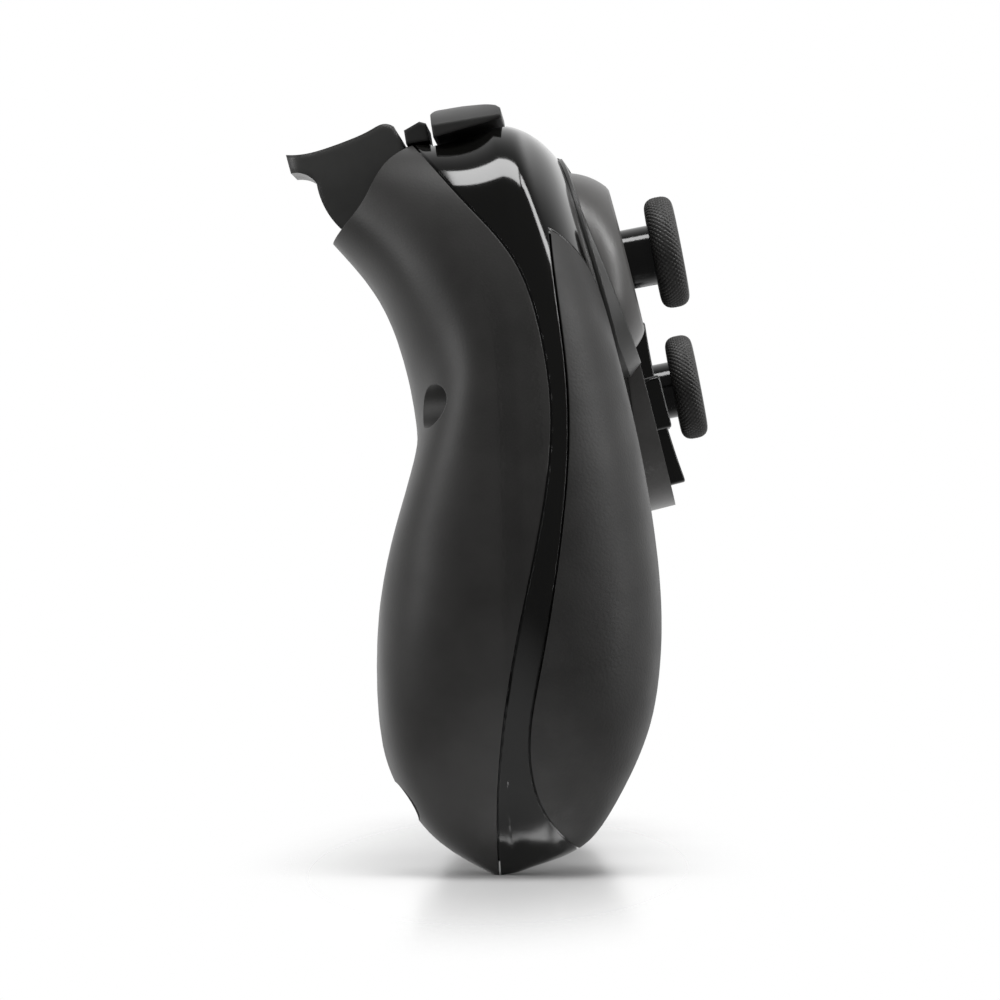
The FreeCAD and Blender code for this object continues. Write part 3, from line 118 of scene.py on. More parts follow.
def soft_touch_paint():
    """Rubberised paint sprayed over ABS: near black, broad soft highlights and a very fine grain."""
    material, tree, shader, place = new_material("soft_touch_paint")
    grain = add(tree, "TexNoise", {"Vector": place, "Scale": scale_of(0.35), "Detail": 2.0})
    tree.links.new(mottle(tree, place, "#252423", "#2c2b2a", 9), shader.inputs["Base Color"])
    tree.links.new(varied(tree, place, 0.4, 0.47, 14), shader.inputs["Roughness"])
    tree.links.new(softened(tree, 0.25, grain.outputs["Fac"], 0.012), shader.inputs["Normal"])
    settle(shader, IOR=1.5, Sheen_Weight=0.08, Sheen_Roughness=0.4)
    return material


def gloss_abs():
    """High-gloss moulded ABS: black and mirror smooth, with faint moulding waves and wipe marks."""
    material, tree, shader, place = new_material("gloss_abs")
    waves = add(tree, "TexNoise", {"Vector": place, "Scale": scale_of(7), "Detail": 1.0})
    tree.links.new(mottle(tree, place, "#0b0b0a", "#0e0e0d", 20), shader.inputs["Base Color"])
    tree.links.new(varied(tree, place, 0.06, 0.1, 11), shader.inputs["Roughness"])
    tree.links.new(softened(tree, 0.3, waves.outputs["Fac"], 0.008), shader.inputs["Normal"])
    settle(shader, IOR=1.52)
    return material


def spark_eroded_abs():
    """ABS moulded in a spark-eroded tool: matte dark grey with a fine pebble."""
    material, tree, shader, place = new_material("spark_eroded_abs")
    pebble = add(tree, "TexVoronoi", {"Vector": place, "Scale": scale_of(0.42)}, feature="SMOOTH_F1")
    tree.links.new(mottle(tree, place, "#1d1c1b", "#242322", 6), shader.inputs["Base Color"])
    tree.links.new(varied(tree, place, 0.48, 0.58, 10), shader.inputs["Roughness"])
    tree.links.new(softened(tree, 0.25, pebble.outputs["Distance"], 0.02), shader.inputs["Normal"])
    settle(shader, IOR=1.5)
    return material


def satin_abs(name, dark, light, low, high, edge=0.22):
    """Moulded ABS with a satin face: the tool's polish sets how broad its highlights are."""
    material, tree, shader, place = new_material(name)
    grain = add(tree, "TexNoise", {"Vector": place, "Scale": scale_of(0.3), "Detail": 2.0})
    tree.links.new(mottle(tree, place, dark, light, 8), shader.inputs["Base Color"])
    tree.links.new(varied(tree, place, low, high, 9), shader.inputs["Roughness"])
    tree.links.new(softened(tree, edge, grain.outputs["Fac"], 0.006), shader.inputs["Normal"])
    settle(shader, IOR=1.5)
    return material


def cap_rubber():
    """Moulded rubber: matte black, greyer where dust and skin have polished it, with a fine skin."""
    material, tree, shader, place = new_material("cap_rubber")
    skin = add(tree, "TexVoronoi", {"Vector": place, "Scale": scale_of(0.25)}, feature="SMOOTH_F1")
    tree.links.new(mottle(tree, place, "#2b2a29", "#343332", 3), shader.inputs["Base Color"])
    tree.links.new(varied(tree, place, 0.42, 0.55, 4), shader.inputs["Roughness"])
    tree.links.new(softened(tree, 0.1, skin.outputs["Distance"], 0.012), shader.inputs["Normal"])
    settle(shader, IOR=1.52)
    return material


def smoky_polycarbonate():
    """Tinted polycarbonate: a dark, clear window with a hint of moulding haze."""
    material, tree, shader, place = new_material("smoky_polycarbonate")
    haze = add(tree, "TexNoise", {"Vector": place, "Scale": scale_of(2), "Detail": 2.0})
    tree.links.new(mottle(tree, place, "#2a2c2e", "#383b3e", 2), shader.inputs["Base Color"])
    tree.links.new(varied(tree, place, 0.08, 0.16, 3), shader.inputs["Roughness"])
    tree.links.new(softened(tree, 0.15, haze.outputs["Fac"], 0.01), shader.inputs["Normal"])
    settle(shader, IOR=1.58, Transmission_Weight=0.35)
    return material


def solder_mask():
    """Glass-fibre board under solder mask: deep green lacquer over a weave that just shows."""
    material, tree, shader, place = new_material("solder_mask")
    rows = add(tree, "TexWave", {"Vector": place, "Scale": scale_of(0.8), "Distortion": 0.6})
    columns = add(tree, "TexWave", {"Vector": place, "Scale": scale_of(0.8), "Distortion": 0.6},
                  bands_direction="Y")
    weave = add(tree, "Math", {0: rows.outputs["Fac"], 1: columns.outputs["Fac"]}, operation="MULTIPLY")
    tree.links.new(mottle(tree, place, "#0f2a1a", "#163a24", 3), shader.inputs["Base Color"])
    tree.links.new(varied(tree, place, 0.28, 0.38, 5), shader.inputs["Roughness"])
    tree.links.new(softened(tree, 0.1, weave.outputs[0], 0.01), shader.inputs["Normal"])
    settle(shader, IOR=1.5)
    return material


def cell_wrap():
    """Aluminised film shrunk over the cell: silver grey with soft creases."""
    material, tree, shader, place = new_material("cell_wrap")
    creases = add(tree, "TexNoise", {"Vector": place, "Scale": scale_of(5), "Detail": 5.0,
                                     "Roughness": 0.6})
    tree.links.new(mottle(tree, place, "#8e9194", "#a2a5a8", 6), shader.inputs["Base Color"])
    tree.links.new(varied(tree, place, 0.3, 0.45, 5), shader.inputs["Roughness"])
    tree.links.new(softened(tree, 0.4, creases.outputs["Fac"], 0.15), shader.inputs["Normal"])
    settle(shader, Metallic=0.7)
    return material


def moulded_nylon():
    """Glass-filled nylon: dull charcoal with short fibres that catch the light."""
    material, tree, shader, place = new_material("moulded_nylon")
    fibres = add(tree, "TexNoise", {"Vector": place, "Scale": scale_of(0.7), "Detail": 6.0,
                                    "Distortion": 1.5})
    tree.links.new(mottle(tree, place, "#232425", "#2e2f30", 2), shader.inputs["Base Color"])
    tree.links.new(varied(tree, place, 0.4, 0.6, 2), shader.inputs["Roughness"])
    tree.links.new(softened(tree, 0.15, fibres.outputs["Fac"], 0.02), shader.inputs["Normal"])
    settle(shader, IOR=1.53)
    return material


def silicone_sheet():
    """Pressed silicone: milky grey, soft and slightly see-through at its thin parts."""
    material, tree, shader, place = new_material("silicone_sheet")
    bloom = add(tree, "TexNoise", {"Vector": place, "Scale": scale_of(1.2), "Detail": 3.0})
    tree.links.new(mottle(tree, place, "#a9adb0", "#bcc0c2", 4), shader.inputs["Base Color"])
    tree.links.new(varied(tree, place, 0.45, 0.6, 5), shader.inputs["Roughness"])
    tree.links.new(softened(tree, 0.15, bloom.outputs["Fac"], 0.01), shader.inputs["Normal"])
    settle(shader, IOR=1.41, Subsurface_Weight=0.25, Subsurface_Scale=0.001)
    return material


def turned_metal(name, dark, light, low, high, line):
    """Drawn or turned metal: fine lines round its length and a few dull patches."""
    material, tree, shader, place = new_material(name)
    lines = add(tree, "TexWave", {"Vector": place, "Scale": scale_of(line), "Distortion": 1.2,
                                  "Detail": 2.0}, bands_direction="Y")
    tree.links.new(mottle(tree, place, dark, light, 3), shader.inputs["Base Color"])
    tree.links.new(varied(tree, place, low, high, 3), shader.inputs["Roughness"])
    tree.links.new(softened(tree, 0.1, lines.outputs["Fac"], 0.004), shader.inputs["Normal"])
    settle(shader, Metallic=1.0)
    return material


MATERIALS = {
    "paint": soft_touch_paint(),
    "gloss": gloss_abs(),
    "matte": spark_eroded_abs(),
    "pod": satin_abs("satin_pod_abs", "#4c4b4a", "#555453", 0.3, 0.36),
    "collar": satin_abs("satin_collar_abs", "#333332", "#3a3a39", 0.36, 0.44),
    "trigger": satin_abs("satin_trigger_abs", "#333332", "#3b3b3a", 0.34, 0.42, edge=1.3),
    "bumper": satin_abs("satin_bumper_abs", "#222221", "#292928", 0.42, 0.5, edge=0.7),
    "column": satin_abs("polished_acetal", "#0c0c0b", "#10100f", 0.08, 0.12),
    "key": satin_abs("polished_key_abs", "#0d0d0c", "#111110", 0.08, 0.12),
    "rubber": cap_rubber(),
    "lens": smoky_polycarbonate(),
    "board": solder_mask(),
    "cell": cell_wrap(),
    "nylon": moulded_nylon(),
    "silicone": silicone_sheet(),
    "plated": turned_metal("nickel_plated_steel", "#a8a6a1", "#bab8b3", 0.2, 0.3, 0.3),
    "spring": turned_metal("spring_steel", "#7d7c7a", "#939290", 0.25, 0.35, 0.2),
    "can": turned_metal("drawn_steel_can", "#8c8c8c", "#a1a1a0", 0.28, 0.38, 0.25),
    "weight": turned_metal("sintered_tungsten", "#6d6b68", "#7f7c78", 0.4, 0.5, 0.4),
}

FINISHES = {
    "paint": ("rear_cover",),
    "gloss": ("front_shell",),
    "matte": ("grip_panel",),
    "pod": ("stick_pod", "pad_base", "button_plate"),
    "collar": ("pod_collar",),
    "trigger": ("left_trigger", "right_trigger"),
    "bumper": ("left_bumper", "right_bumper", "shoulder_bar"),
    "column": ("stick_shaft",),
    "key": ("pad_cross", "top_button", "bottom_button", "left_button", "right_button",
            "menu_key", "home_key", "mode_key"),
    "rubber": ("stick_cap",),
    "lens": ("status_lens",),
    "board": ("main_board",),
    "cell": ("battery",),
    "nylon": ("battery_tray", "stick_case", "tilt_yoke", "pivot_block", "pad_rocker", "switch"),
    "silicone": ("membrane",),
    "plated": ("case_screws", "pins", "usb_port"),
    "spring": ("trigger_spring",),
    "can": ("left_motor", "right_motor"),
    "weight": ("motor_weight",),
}


def finish_of(label):
    """The finish of a CAD node: its own name is looked for first, then the end of its name."""
    for test in (str.__eq__, str.endswith):
        for finish, endings in FINISHES.items():
            if any(test(label, ending) for ending in endings):
                return finish
    raise ValueError("no finish for " + label)


for label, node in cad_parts.items():
    for slot in node.material_slots:
        slot.material = MATERIALS[finish_of(label)]


# The outer form, worked out again from the same cuts as the CAD model, so that the gloss is smooth

HALF = 77.5
# Cuts across the form from the centre line to a grip tip: inner x and y, outer x and y (x as a
# share of the half width), inner and outer middle heights, crown to the front, crown to the back,
# back slope, back bump and squareness
STATIONS = np.array([
    (0.000, -14.0, 0.000, 52.0, 30.0, 25.0, 16.5, 14.0, 0.0, 0.0, 3.6),
    (0.168, -14.0, 0.284, 52.3, 30.0, 25.0, 16.5, 14.0, 0.0, 2.0, 3.6),
    (0.284, -13.5, 0.575, 52.2, 30.0, 25.0, 16.2, 14.0, 0.0, 8.0, 3.5),
    (0.361, -14.0, 0.781, 50.8, 30.0, 25.5, 15.0, 14.0, 0.0, 12.0, 3.2),
    (0.413, -16.0, 0.903, 41.0, 30.0, 27.0, 14.5, 15.5, 0.0, 4.0, 2.9),
    (0.452, -20.0, 0.974, 22.0, 28.5, 28.5, 15.2, 17.4, -2.5, 0.0, 2.6),
    (0.490, -26.0, 1.002, 2.0, 26.0, 27.0, 17.2, 22.3, -2.0, 0.0, 2.4),
    (0.529, -33.0, 0.990, -17.0, 23.0, 24.5, 18.6, 22.7, 0.0, 0.0, 2.25),
    (0.574, -41.0, 0.941, -34.0, 20.5, 21.5, 17.7, 20.4, 0.0, 0.0, 2.15),
    (0.645, -49.5, 0.865, -46.5, 18.5, 18.5, 13.5, 13.7, 0.0, 0.0, 2.05),
    (0.716, -54.0, 0.806, -53.3, 17.0, 17.0, 8.8, 6.5, 0.0, 0.0, 2.0),
    (0.748, -55.7, 0.774, -55.7, 15.0, 15.0, 1.6, 1.6, 0.0, 0.0, 2.0),
])
RING = 20
BUMP_START, BUMP_WIDTH = 0.5, 0.35
FORM_ROWS, FORM_COLUMNS = 801, 240


def spline(points, place, closed=False):
    """Cubic curve through equally spaced rows of points, at each place counted in rows."""
    count = len(points)
    matrix = 4 * np.eye(count) + np.eye(count, k=1) + np.eye(count, k=-1)
    ahead, behind = np.roll(points, -1, 0), np.roll(points, 1, 0)
    slope = 3 * (ahead - behind)
    if closed:
        matrix[0, -1] = matrix[-1, 0] = 1
    else:
        matrix[0, 0] = matrix[-1, -1] = 2
        slope[0], slope[-1] = 3 * (points[1] - points[0]), 3 * (points[-1] - points[-2])
    slope = np.linalg.solve(matrix, slope.reshape(count, -1)).reshape(points.shape)
    first = np.floor(place).astype(int)
    if not closed:
        first = np.clip(first, 0, count - 2)
    f = (place - first).reshape(place.shape + (1,) * (points.ndim - 1))
    a, b = points[first % count], points[(first + 1) % count]
    da, db = slope[first % count], slope[(first + 1) % count]
    return a + f * (da + f * (3 * (b - a) - 2 * da - db + f * (2 * (a - b) + da + db)))


def station_rows():
    """The stations with one more between each pair, on a smooth curve, mirrored to both sides."""
    mirror = np.ones(STATIONS.shape[1])
    mirror[[0, 2]] = -1
    before = STATIONS[1] * mirror
    beyond = 2 * STATIONS[-1] - STATIONS[-2]
    a = np.vstack([before, STATIONS[:-1]])[:-1]
    b, c = STATIONS[:-1], STATIONS[1:]
    d = np.vstack([STATIONS[2:], beyond])
    between = (9 * (b + c) - a - d) / 16
    rows = np.empty((2 * len(STATIONS) - 1, STATIONS.shape[1]))
    rows[::2], rows[1::2] = STATIONS, between
    return rows


def ring_points(rows):
    """Points round each cut: a superellipse between its inner and outer plan points."""
    x_in, y_in, x_out, y_out, z_in, z_out, front, back, slope, bump, square = rows.T[:, :, None]
    angle = 2 * np.pi * (np.arange(RING) + 0.5) / RING
    across = np.sign(np.cos(angle)) * np.abs(np.cos(angle)) ** (2 / square)
    rise = np.abs(np.sin(angle)) ** (2 / square)
    q = 0.5 + 0.5 * across
    hollow = np.maximum(0, q - BUMP_START) / BUMP_WIDTH
    down = back + slope * (2 * q - 1) + bump * hollow**2
    z = z_in + (z_out - z_in) * q + np.where(np.sin(angle) > 0, front * rise, -down * rise)
    return np.stack([HALF * (x_in + (x_out - x_in) * q), y_in + (y_out - y_in) * q, z], -1)


def whole_form():
    """Ring points of both sides in one array, from the left grip tip to the right one."""
    right = ring_points(station_rows())
    left = right[:0:-1] * np.array([-1, 1, 1])
    return np.concatenate([left, right])


def outer_form():
    """A closed sheet of the outer form; u runs from grip tip to grip tip, v goes round each cut."""
    rings = whole_form()
    u = np.linspace(0, len(rings) - 1, FORM_ROWS)
    v = np.linspace(0, RING, FORM_COLUMNS + 1)[:-1]
    grid = spline(rings, u)
    return spline(grid.transpose(1, 0, 2), v, closed=True).transpose(1, 0, 2)


def sheet_faces(rows, columns):
    """Quads over a grid of vertices whose columns close on themselves, facing outwards."""
    i, j = np.meshgrid(np.arange(rows - 1), np.arange(columns), indexing="ij")
    k = (j + 1) % columns
    corners = [i * columns + j, i * columns + k, (i + 1) * columns + k, (i + 1) * columns + j]
    return np.stack(corners, -1).reshape(-1, 4)


def make_mesh(name, points, faces):
    """A smooth mesh from points in millimetres and faces."""
    mesh = bpy.data.meshes.new(name)
    mesh.from_pydata((points.reshape(-1, 3) * MM).tolist(), [], [list(face) for face in faces])
    mesh.shade_smooth()
    return mesh


def make_sheet_mesh(name, grid):
    """A smooth mesh of one closed sheet, filled straight from its arrays."""
    faces = sheet_faces(*grid.shape[:2])
    mesh = bpy.data.meshes.new(name)
    mesh.vertices.add(grid.shape[0] * grid.shape[1])
    mesh.vertices.foreach_set("co", (grid * MM).ravel())
    mesh.loops.add(faces.size)
    mesh.loops.foreach_set("vertex_index", faces.ravel())
    mesh.polygons.add(len(faces))
    mesh.polygons.foreach_set("loop_start", np.arange(0, faces.size, 4))
    mesh.update(calc_edges=True)
    mesh.shade_smooth()
    return mesh


def link(name, mesh):
    """A new object for a mesh, at the origin."""
    item = bpy.data.objects.new(name, mesh)
    scene.collection.objects.link(item)
    return item


# How far from a shell the smooth form may lie, and how far its normal may lean from the shell's own
FORM_REACH = 2.2
FORM_TURN = math.cos(math.radians(50))
EDGE_LIMITS = (4.0, 2.0, 1.1)
WELD = 0.001
CREASE = math.radians(30)


def refined_copy(source, tree):
    """A merged copy of a CAD mesh whose long edges on the outer form are halved a few times.

    Short edges let the form's own normals carry a reflection across without a ragged border.
    """
    work = bmesh.new()
    work.from_mesh(source)
    bmesh.ops.remove_doubles(work, verts=work.verts, dist=WELD * MM)
    for limit in EDGE_LIMITS:
        long_edges = [edge for edge in work.edges if edge.calc_length() > limit * MM]
        outer = [edge for edge in long_edges
                 if all(tree.find_nearest(v.co, FORM_REACH * MM)[0] is not None for v in edge.verts)]
        bmesh.ops.subdivide_edges(work, edges=outer, cuts=1, use_grid_fill=False)
        bmesh.ops.triangulate(work, faces=[face for face in work.faces if len(face.verts) > 3])
    copy = source.copy()
    work.to_mesh(copy)
    work.free()
    copy.shade_smooth()
    copy.set_sharp_from_angle(angle=CREASE)
    return copy


def corner_array(mesh):
    """A triangle mesh's corner normals, three to a triangle."""
    values = np.empty(len(mesh.loops) * 3, dtype=np.float32)
    mesh.corner_normals.foreach_get("vector", values)
    return values.reshape(-1, 3, 3)


def keep_walls(mesh, own):
    """Give the walls of holes and seams their own normals back.

    A corner keeps the form's normal where that leans less than FORM_TURN's angle from its triangle.
    """
    carried = corner_array(mesh)
    facing = np.empty(len(mesh.polygons) * 3, dtype=np.float32)
    mesh.polygons.foreach_get("normal", facing)
    along = (carried * facing.reshape(-1, 1, 3)).sum(-1, keepdims=True)
    chosen = np.where(along > FORM_TURN, carried, own)
    mesh.normals_split_custom_set(chosen.reshape(-1, 3).tolist())


def smooth_shells():
    """Copies of the shells whose outer faces take the form's exact normals."""
    guide = link("outer_form", make_sheet_mesh("outer_form", outer_form()))
    tree = BVHTree.FromObject(guide, bpy.context.evaluated_depsgraph_get())
    for label in ("front_shell", "rear_cover", "left_grip_panel", "right_grip_panel"):
        piece = link(label + "_skin", refined_copy(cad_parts[label].data, tree))
        own = corner_array(piece.data)
        transfer = piece.modifiers.new("form_normals", "DATA_TRANSFER")
        transfer.object = guide
        transfer.use_loop_data = True
        transfer.data_types_loops = {"CUSTOM_NORMAL"}
        transfer.loop_mapping = "POLYINTERP_NEAREST"
        transfer.use_max_distance = True
        transfer.max_distance = FORM_REACH * MM
        bpy.context.view_layer.update()
        finished = piece.evaluated_get(bpy.context.evaluated_depsgraph_get())
        piece.data = bpy.data.meshes.new_from_object(finished)
        piece.modifiers.clear()
        keep_walls(piece.data, own)
        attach(piece, "housing")
        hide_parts(label)
    bpy.data.objects.remove(guide)


smooth_shells()


# Frames of the leaning parts, as the CAD model gives them


BOARD_LEAN = math.radians(1.6)
FACE_LEAN = math.radians(5)
BOARD_TOP = (0.0, 0.0, 29.4)


def placed(points, origin, lean):
    """Points turned about x by a lean and moved to an origin: y and z mix by its sine and cosine."""
    x, y, z = points[:, 0], points[:, 1], points[:, 2]
    turned = np.stack([x, y * math.cos(lean) + z * math.sin(lean),
                       z * math.cos(lean) - y * math.sin(lean)], -1)
    return turned + np.array(origin)


STICKS = {side: placed(np.array([place]), BOARD_TOP, BOARD_LEAN)[0]
          for side, place in (("left", (-39.5, 29.4, 6.5)), ("right", (18.0, 10.3, 6.5)))}
PAD = (-20.0, 8.3, 46.6)


# Thumb caps


def closed_turn(profile, radii, heights):
    """Points and faces of a turned solid whose profile starts and ends on the axis.

    A point is (r cos a, r sin a, z): a runs round the rows of radii and heights, and each end of the
    profile is one point on the axis.
    """
    rows, columns = radii.shape
    angle = np.arange(columns) * 2 * np.pi / columns
    ring = np.stack([radii * np.cos(angle), radii * np.sin(angle), heights], -1).reshape(-1, 3)
    poles = np.array([[0, 0, profile[0][1]], [0, 0, profile[-1][1]]])
    j = np.arange(columns)
    k = (j + 1) % columns
    first, last, base = rows * columns, rows * columns + 1, (rows - 1) * columns
    faces = sheet_faces(rows, columns).tolist()
    faces += np.stack([np.full(columns, first), k, j], -1).tolist()
    faces += np.stack([np.full(columns, last), base + j, base + k], -1).tolist()
    return np.concatenate([ring, poles]), faces


# The cap is a little thinner than the CAD cap, so that its squarer rim stays inside the CAD box
CAP_RADIUS, CAP_MIDDLE, CAP_HALF = 8.3, 17.5, 2.16
DISH_RADIUS, DISH_DEPTH, DISH_REACH = 24.0, 0.9, 6.0
KNURLS = 66
KNURL_PITCH = 0.8
KNURL_DEPTH = 0.2
KNURL_COLUMNS = KNURLS * 8
# Angles on the rim, up from its widest line, where the knurl has faded out, and over what turn
KNURL_TOP, KNURL_TOP_FADE = 1.15, 0.25
KNURL_FOOT, KNURL_FOOT_FADE = 1.35, 0.3
RIM_SQUARENESS = 2.7
COLUMN = 4.45
FOOT_RADIUS, HOLLOW_RADIUS, HOLLOW_DEPTH = 5.2, 2.0, 0.9


def squared(wave):
    """A rim's reach along one axis: a sine or cosine, raised so that the round rim turns squarer."""
    return math.copysign(CAP_HALF * abs(wave) ** (2 / RIM_SQUARENESS), wave)


def cap_profile():
    """The cap's half outline as radius, height and share of knurl, from its dished top to its foot.

    The dish is part of a sphere, the rim a superellipse round (radius - half, middle), and the foot
    a flat with a hollow for the column.
    """
    centre = CAP_RADIUS - CAP_HALF
    dish = np.linspace(0, DISH_REACH, 14)
    bottom = CAP_MIDDLE + CAP_HALF - DISH_DEPTH
    top = [(r, bottom + DISH_RADIUS - math.sqrt(DISH_RADIUS**2 - r * r), 0) for r in dish]
    arc = np.linspace(math.pi / 2 - 0.02, -math.pi / 2, 74)
    grip = (np.clip((KNURL_TOP - arc) / KNURL_TOP_FADE, 0, 1)
            * np.clip((arc + KNURL_FOOT) / KNURL_FOOT_FADE, 0, 1))
    rim = [(centre + squared(math.cos(a)), CAP_MIDDLE + squared(math.sin(a)), g)
           for a, g in zip(arc, grip)]
    foot = CAP_MIDDLE - CAP_HALF
    hollow = foot + HOLLOW_DEPTH
    under = [(FOOT_RADIUS, foot, 0), (COLUMN, foot, 0), (COLUMN, hollow, 0), (HOLLOW_RADIUS, hollow, 0),
             (0, hollow, 0)]
    return top + rim + under


def knurled_cap():
    """A turned cap whose rim is cut by two crossing spirals, which leave small diamonds.

    The cut's depth is the knurl depth times the larger of two ridged waves: one rises with the
    angle and with the way along the profile, the other falls with it.
    """
    profile = cap_profile()
    radius, height, grip = (np.array(column) for column in zip(*profile))
    way = np.concatenate([[0], np.cumsum(np.hypot(np.diff(radius), np.diff(height)))])
    angle = np.arange(KNURL_COLUMNS) * 2 * np.pi / KNURL_COLUMNS
    climb = np.pi * way[:, None] / KNURL_PITCH
    wave = [np.abs(np.sin(KNURLS / 2 * angle[None, :] + s * climb)) for s in (1, -1)]
    cut = KNURL_DEPTH * grip[:, None] * (1 - np.minimum(*wave)) ** 2
    middle = np.array([CAP_RADIUS - CAP_HALF, CAP_MIDDLE])
    away = np.stack([radius, height], -1) - middle
    away /= np.maximum(np.linalg.norm(away, axis=1, keepdims=True), 1e-6)
    radii = radius[:, None] - cut * away[:, :1]
    heights = height[:, None] - cut * away[:, 1:]
    return closed_turn(profile, radii[1:-1], heights[1:-1])


def make_caps():
    """The knurled caps, one on each stick."""
    points, faces = knurled_cap()
    for side, origin in STICKS.items():
        label = side + "_stick_cap"
        mesh = make_mesh(label, placed(points, origin, BOARD_LEAN), faces)
        mesh.materials.append(MATERIALS["rubber"])
        cap = link(label + "_knurled", mesh)
        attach(cap, side + "_stick")
        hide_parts(label)


# Direction pad


HALF_SPAN, HALF_ARM, CORNER = 12.5, 4.1, 1.2
PAD_PROUD, PAD_DISH, PAD_FOOT = 2.3, 0.7, -3.4
EDGE_ROUND = 0.35
INSET_STEP, INSET_DEPTH = 0.75, 0.28
# How far beyond its step the inset's wall reaches its floor
INSET_WALL = 0.34
PLUNGER_SPREAD, PLUNGER_RADIUS, PLUNGER_FOOT = 9, 1.8, -13.9
STUD_RADIUS, STUD_DEPTH = 1.6, 0.6
ROD_OVERLAP, ROD_CHAMFER = 0.2, 0.2


def plus_outline(inset):
    """The plus outline drawn in by inset: straight arms whose outer corners are quarter circles."""
    span, arm, corner = HALF_SPAN - inset, HALF_ARM - inset, max(CORNER - inset, 0.15)
    turn = np.linspace(0, np.pi / 2, 7)
    along = np.linspace(arm, span - corner, 9)
    side = np.stack([along, np.full(9, -arm)], -1)
    low = np.stack([span - corner + corner * np.sin(turn), -arm + corner - corner * np.cos(turn)], -1)
    across = np.linspace(-arm + corner, arm - corner, 8)[1:-1]
    tip = np.stack([np.full(6, span), across], -1)
    high = low[::-1] * np.array([1, -1])
    arm_line = np.concatenate([side, low[1:], tip, high, side[-2::-1] * np.array([1, -1])])
    quarters = [arm_line[:-1]]
    for _ in range(3):
        last = quarters[-1]
        quarters.append(np.stack([-last[:, 1], last[:, 0]], -1))
    return np.concatenate(quarters)


def dished(outline):
    """Heights of the dished top over an outline: they rise with the square of the radius."""
    return PAD_PROUD - PAD_DISH + PAD_DISH * (outline**2).sum(-1) / HALF_SPAN**2


def pad_cross():
    """Loops of the plus outline, carried up its side, over a round edge and down into inset faces.

    Each loop is the outline drawn in by a few tenths, at a height below the dished top, and the last
    loops shrink to a point in the middle.
    """
    round_edge = [(EDGE_ROUND * (1 - math.cos(a)), EDGE_ROUND * (1 - math.sin(a)))
                  for a in np.linspace(0, 1.57, 6)]
    steps = round_edge + [(INSET_STEP, 0.0), (INSET_STEP + 0.08, 0.06),
                          (INSET_STEP + 0.24, INSET_DEPTH - 0.04), (INSET_STEP + INSET_WALL, INSET_DEPTH)]
    outer = plus_outline(0)
    loops = [np.column_stack([outer * 0.02, np.full(len(outer), PAD_FOOT)]),
             np.column_stack([outer, np.full(len(outer), PAD_FOOT)])]
    for inset, drop in steps:
        outline = plus_outline(inset)
        loops.append(np.column_stack([outline, dished(outline) - drop]))
    floor = plus_outline(INSET_STEP + INSET_WALL)
    for share in (0.85, 0.65, 0.45, 0.25, 0.1, 0.02):
        loops.append(np.column_stack([floor * share, dished(floor * share) - INSET_DEPTH]))
    points = np.stack(loops)
    rows, columns = points.shape[:2]
    faces = sheet_faces(rows, columns).tolist()
    faces.append(list(range(columns))[::-1])
    faces.append([(rows - 1) * columns + j for j in range(columns)])
    return points.reshape(-1, 3), faces


def turned_rod(radius, low, high, columns=32):
    """A plunger with a small chamfer at its foot: a turned solid between two heights."""
    profile = [(0, low), (radius - ROD_CHAMFER, low), (radius, low + ROD_CHAMFER), (radius, high), (0, high)]
    radii = np.repeat(np.array([[r] for r, _ in profile[1:-1]]), columns, 1)
    heights = np.repeat(np.array([[z] for _, z in profile[1:-1]]), columns, 1)
    return closed_turn(profile, radii, heights)


def joined(shapes):
    """Several points-and-faces pairs as one pair."""
    points, faces, count = [], [], 0
    for shape_points, shape_faces in shapes:
        points.append(shape_points)
        faces += [[count + k for k in face] for face in shape_faces]
        count += len(shape_points)
    return np.concatenate(points), faces


def make_pad():
    """The direction pad's cross with its four plungers and the stud it rocks on."""
    shapes = [pad_cross()]
    for x, y in ((1, 0), (-1, 0), (0, 1), (0, -1)):
        points, faces = turned_rod(PLUNGER_RADIUS, PLUNGER_FOOT, PAD_FOOT + ROD_OVERLAP)
        shapes.append((points + np.array([x, y, 0]) * PLUNGER_SPREAD, faces))
    shapes.append(turned_rod(STUD_RADIUS, PAD_FOOT - STUD_DEPTH, PAD_FOOT + ROD_OVERLAP))
    points, faces = joined(shapes)
    mesh = make_mesh("pad_cross", placed(points, PAD, FACE_LEAN), faces)
    mesh.set_sharp_from_angle(angle=math.radians(40))
    mesh.materials.append(MATERIALS["key"])
    cross = link("pad_cross_inset", mesh)
    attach(cross, "direction_pad")
    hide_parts("pad_cross")


make_caps()
make_pad()


# Camera: the picture is taken from the player's left, with the grip tips down

TURN = math.radians(9.4)
PICTURE_UP = Vector((0, math.cos(TURN), math.sin(TURN)))
PICTURE_RIGHT = Vector((0, -math.sin(TURN), math.cos(TURN)))
YAW = math.radians(1.3)
DISTANCE = 780 * MM
FRAME_WIDTH = 148.6 * MM
# The last small shifts bring the outline over the photograph's
SHIFT_LEFT, SHIFT_UP = 0.39 * MM, 0.30 * MM
MIDDLE = Vector((-38, -2.5, 22.5)) * MM - PICTURE_RIGHT * SHIFT_LEFT + PICTURE_UP * SHIFT_UP


def make_camera():
    """A long lens that looks at the left side, turned a little towards the rear."""
    ahead = math.cos(YAW) * Vector((1, 0, 0)) - math.sin(YAW) * PICTURE_RIGHT
    right = math.sin(YAW) * Vector((1, 0, 0)) + math.cos(YAW) * PICTURE_RIGHT
    data = bpy.data.cameras.new("camera")
    data.angle = 2 * math.atan(FRAME_WIDTH / 2 / DISTANCE)
    data.clip_start = 0.01
    camera = bpy.data.objects.new("camera", data)
    turn = Matrix((right, PICTURE_UP, -ahead)).transposed()
    camera.matrix_world = Matrix.Translation(MIDDLE - DISTANCE * ahead) @ turn.to_4x4()
    scene.collection.objects.link(camera)
    scene.camera = camera


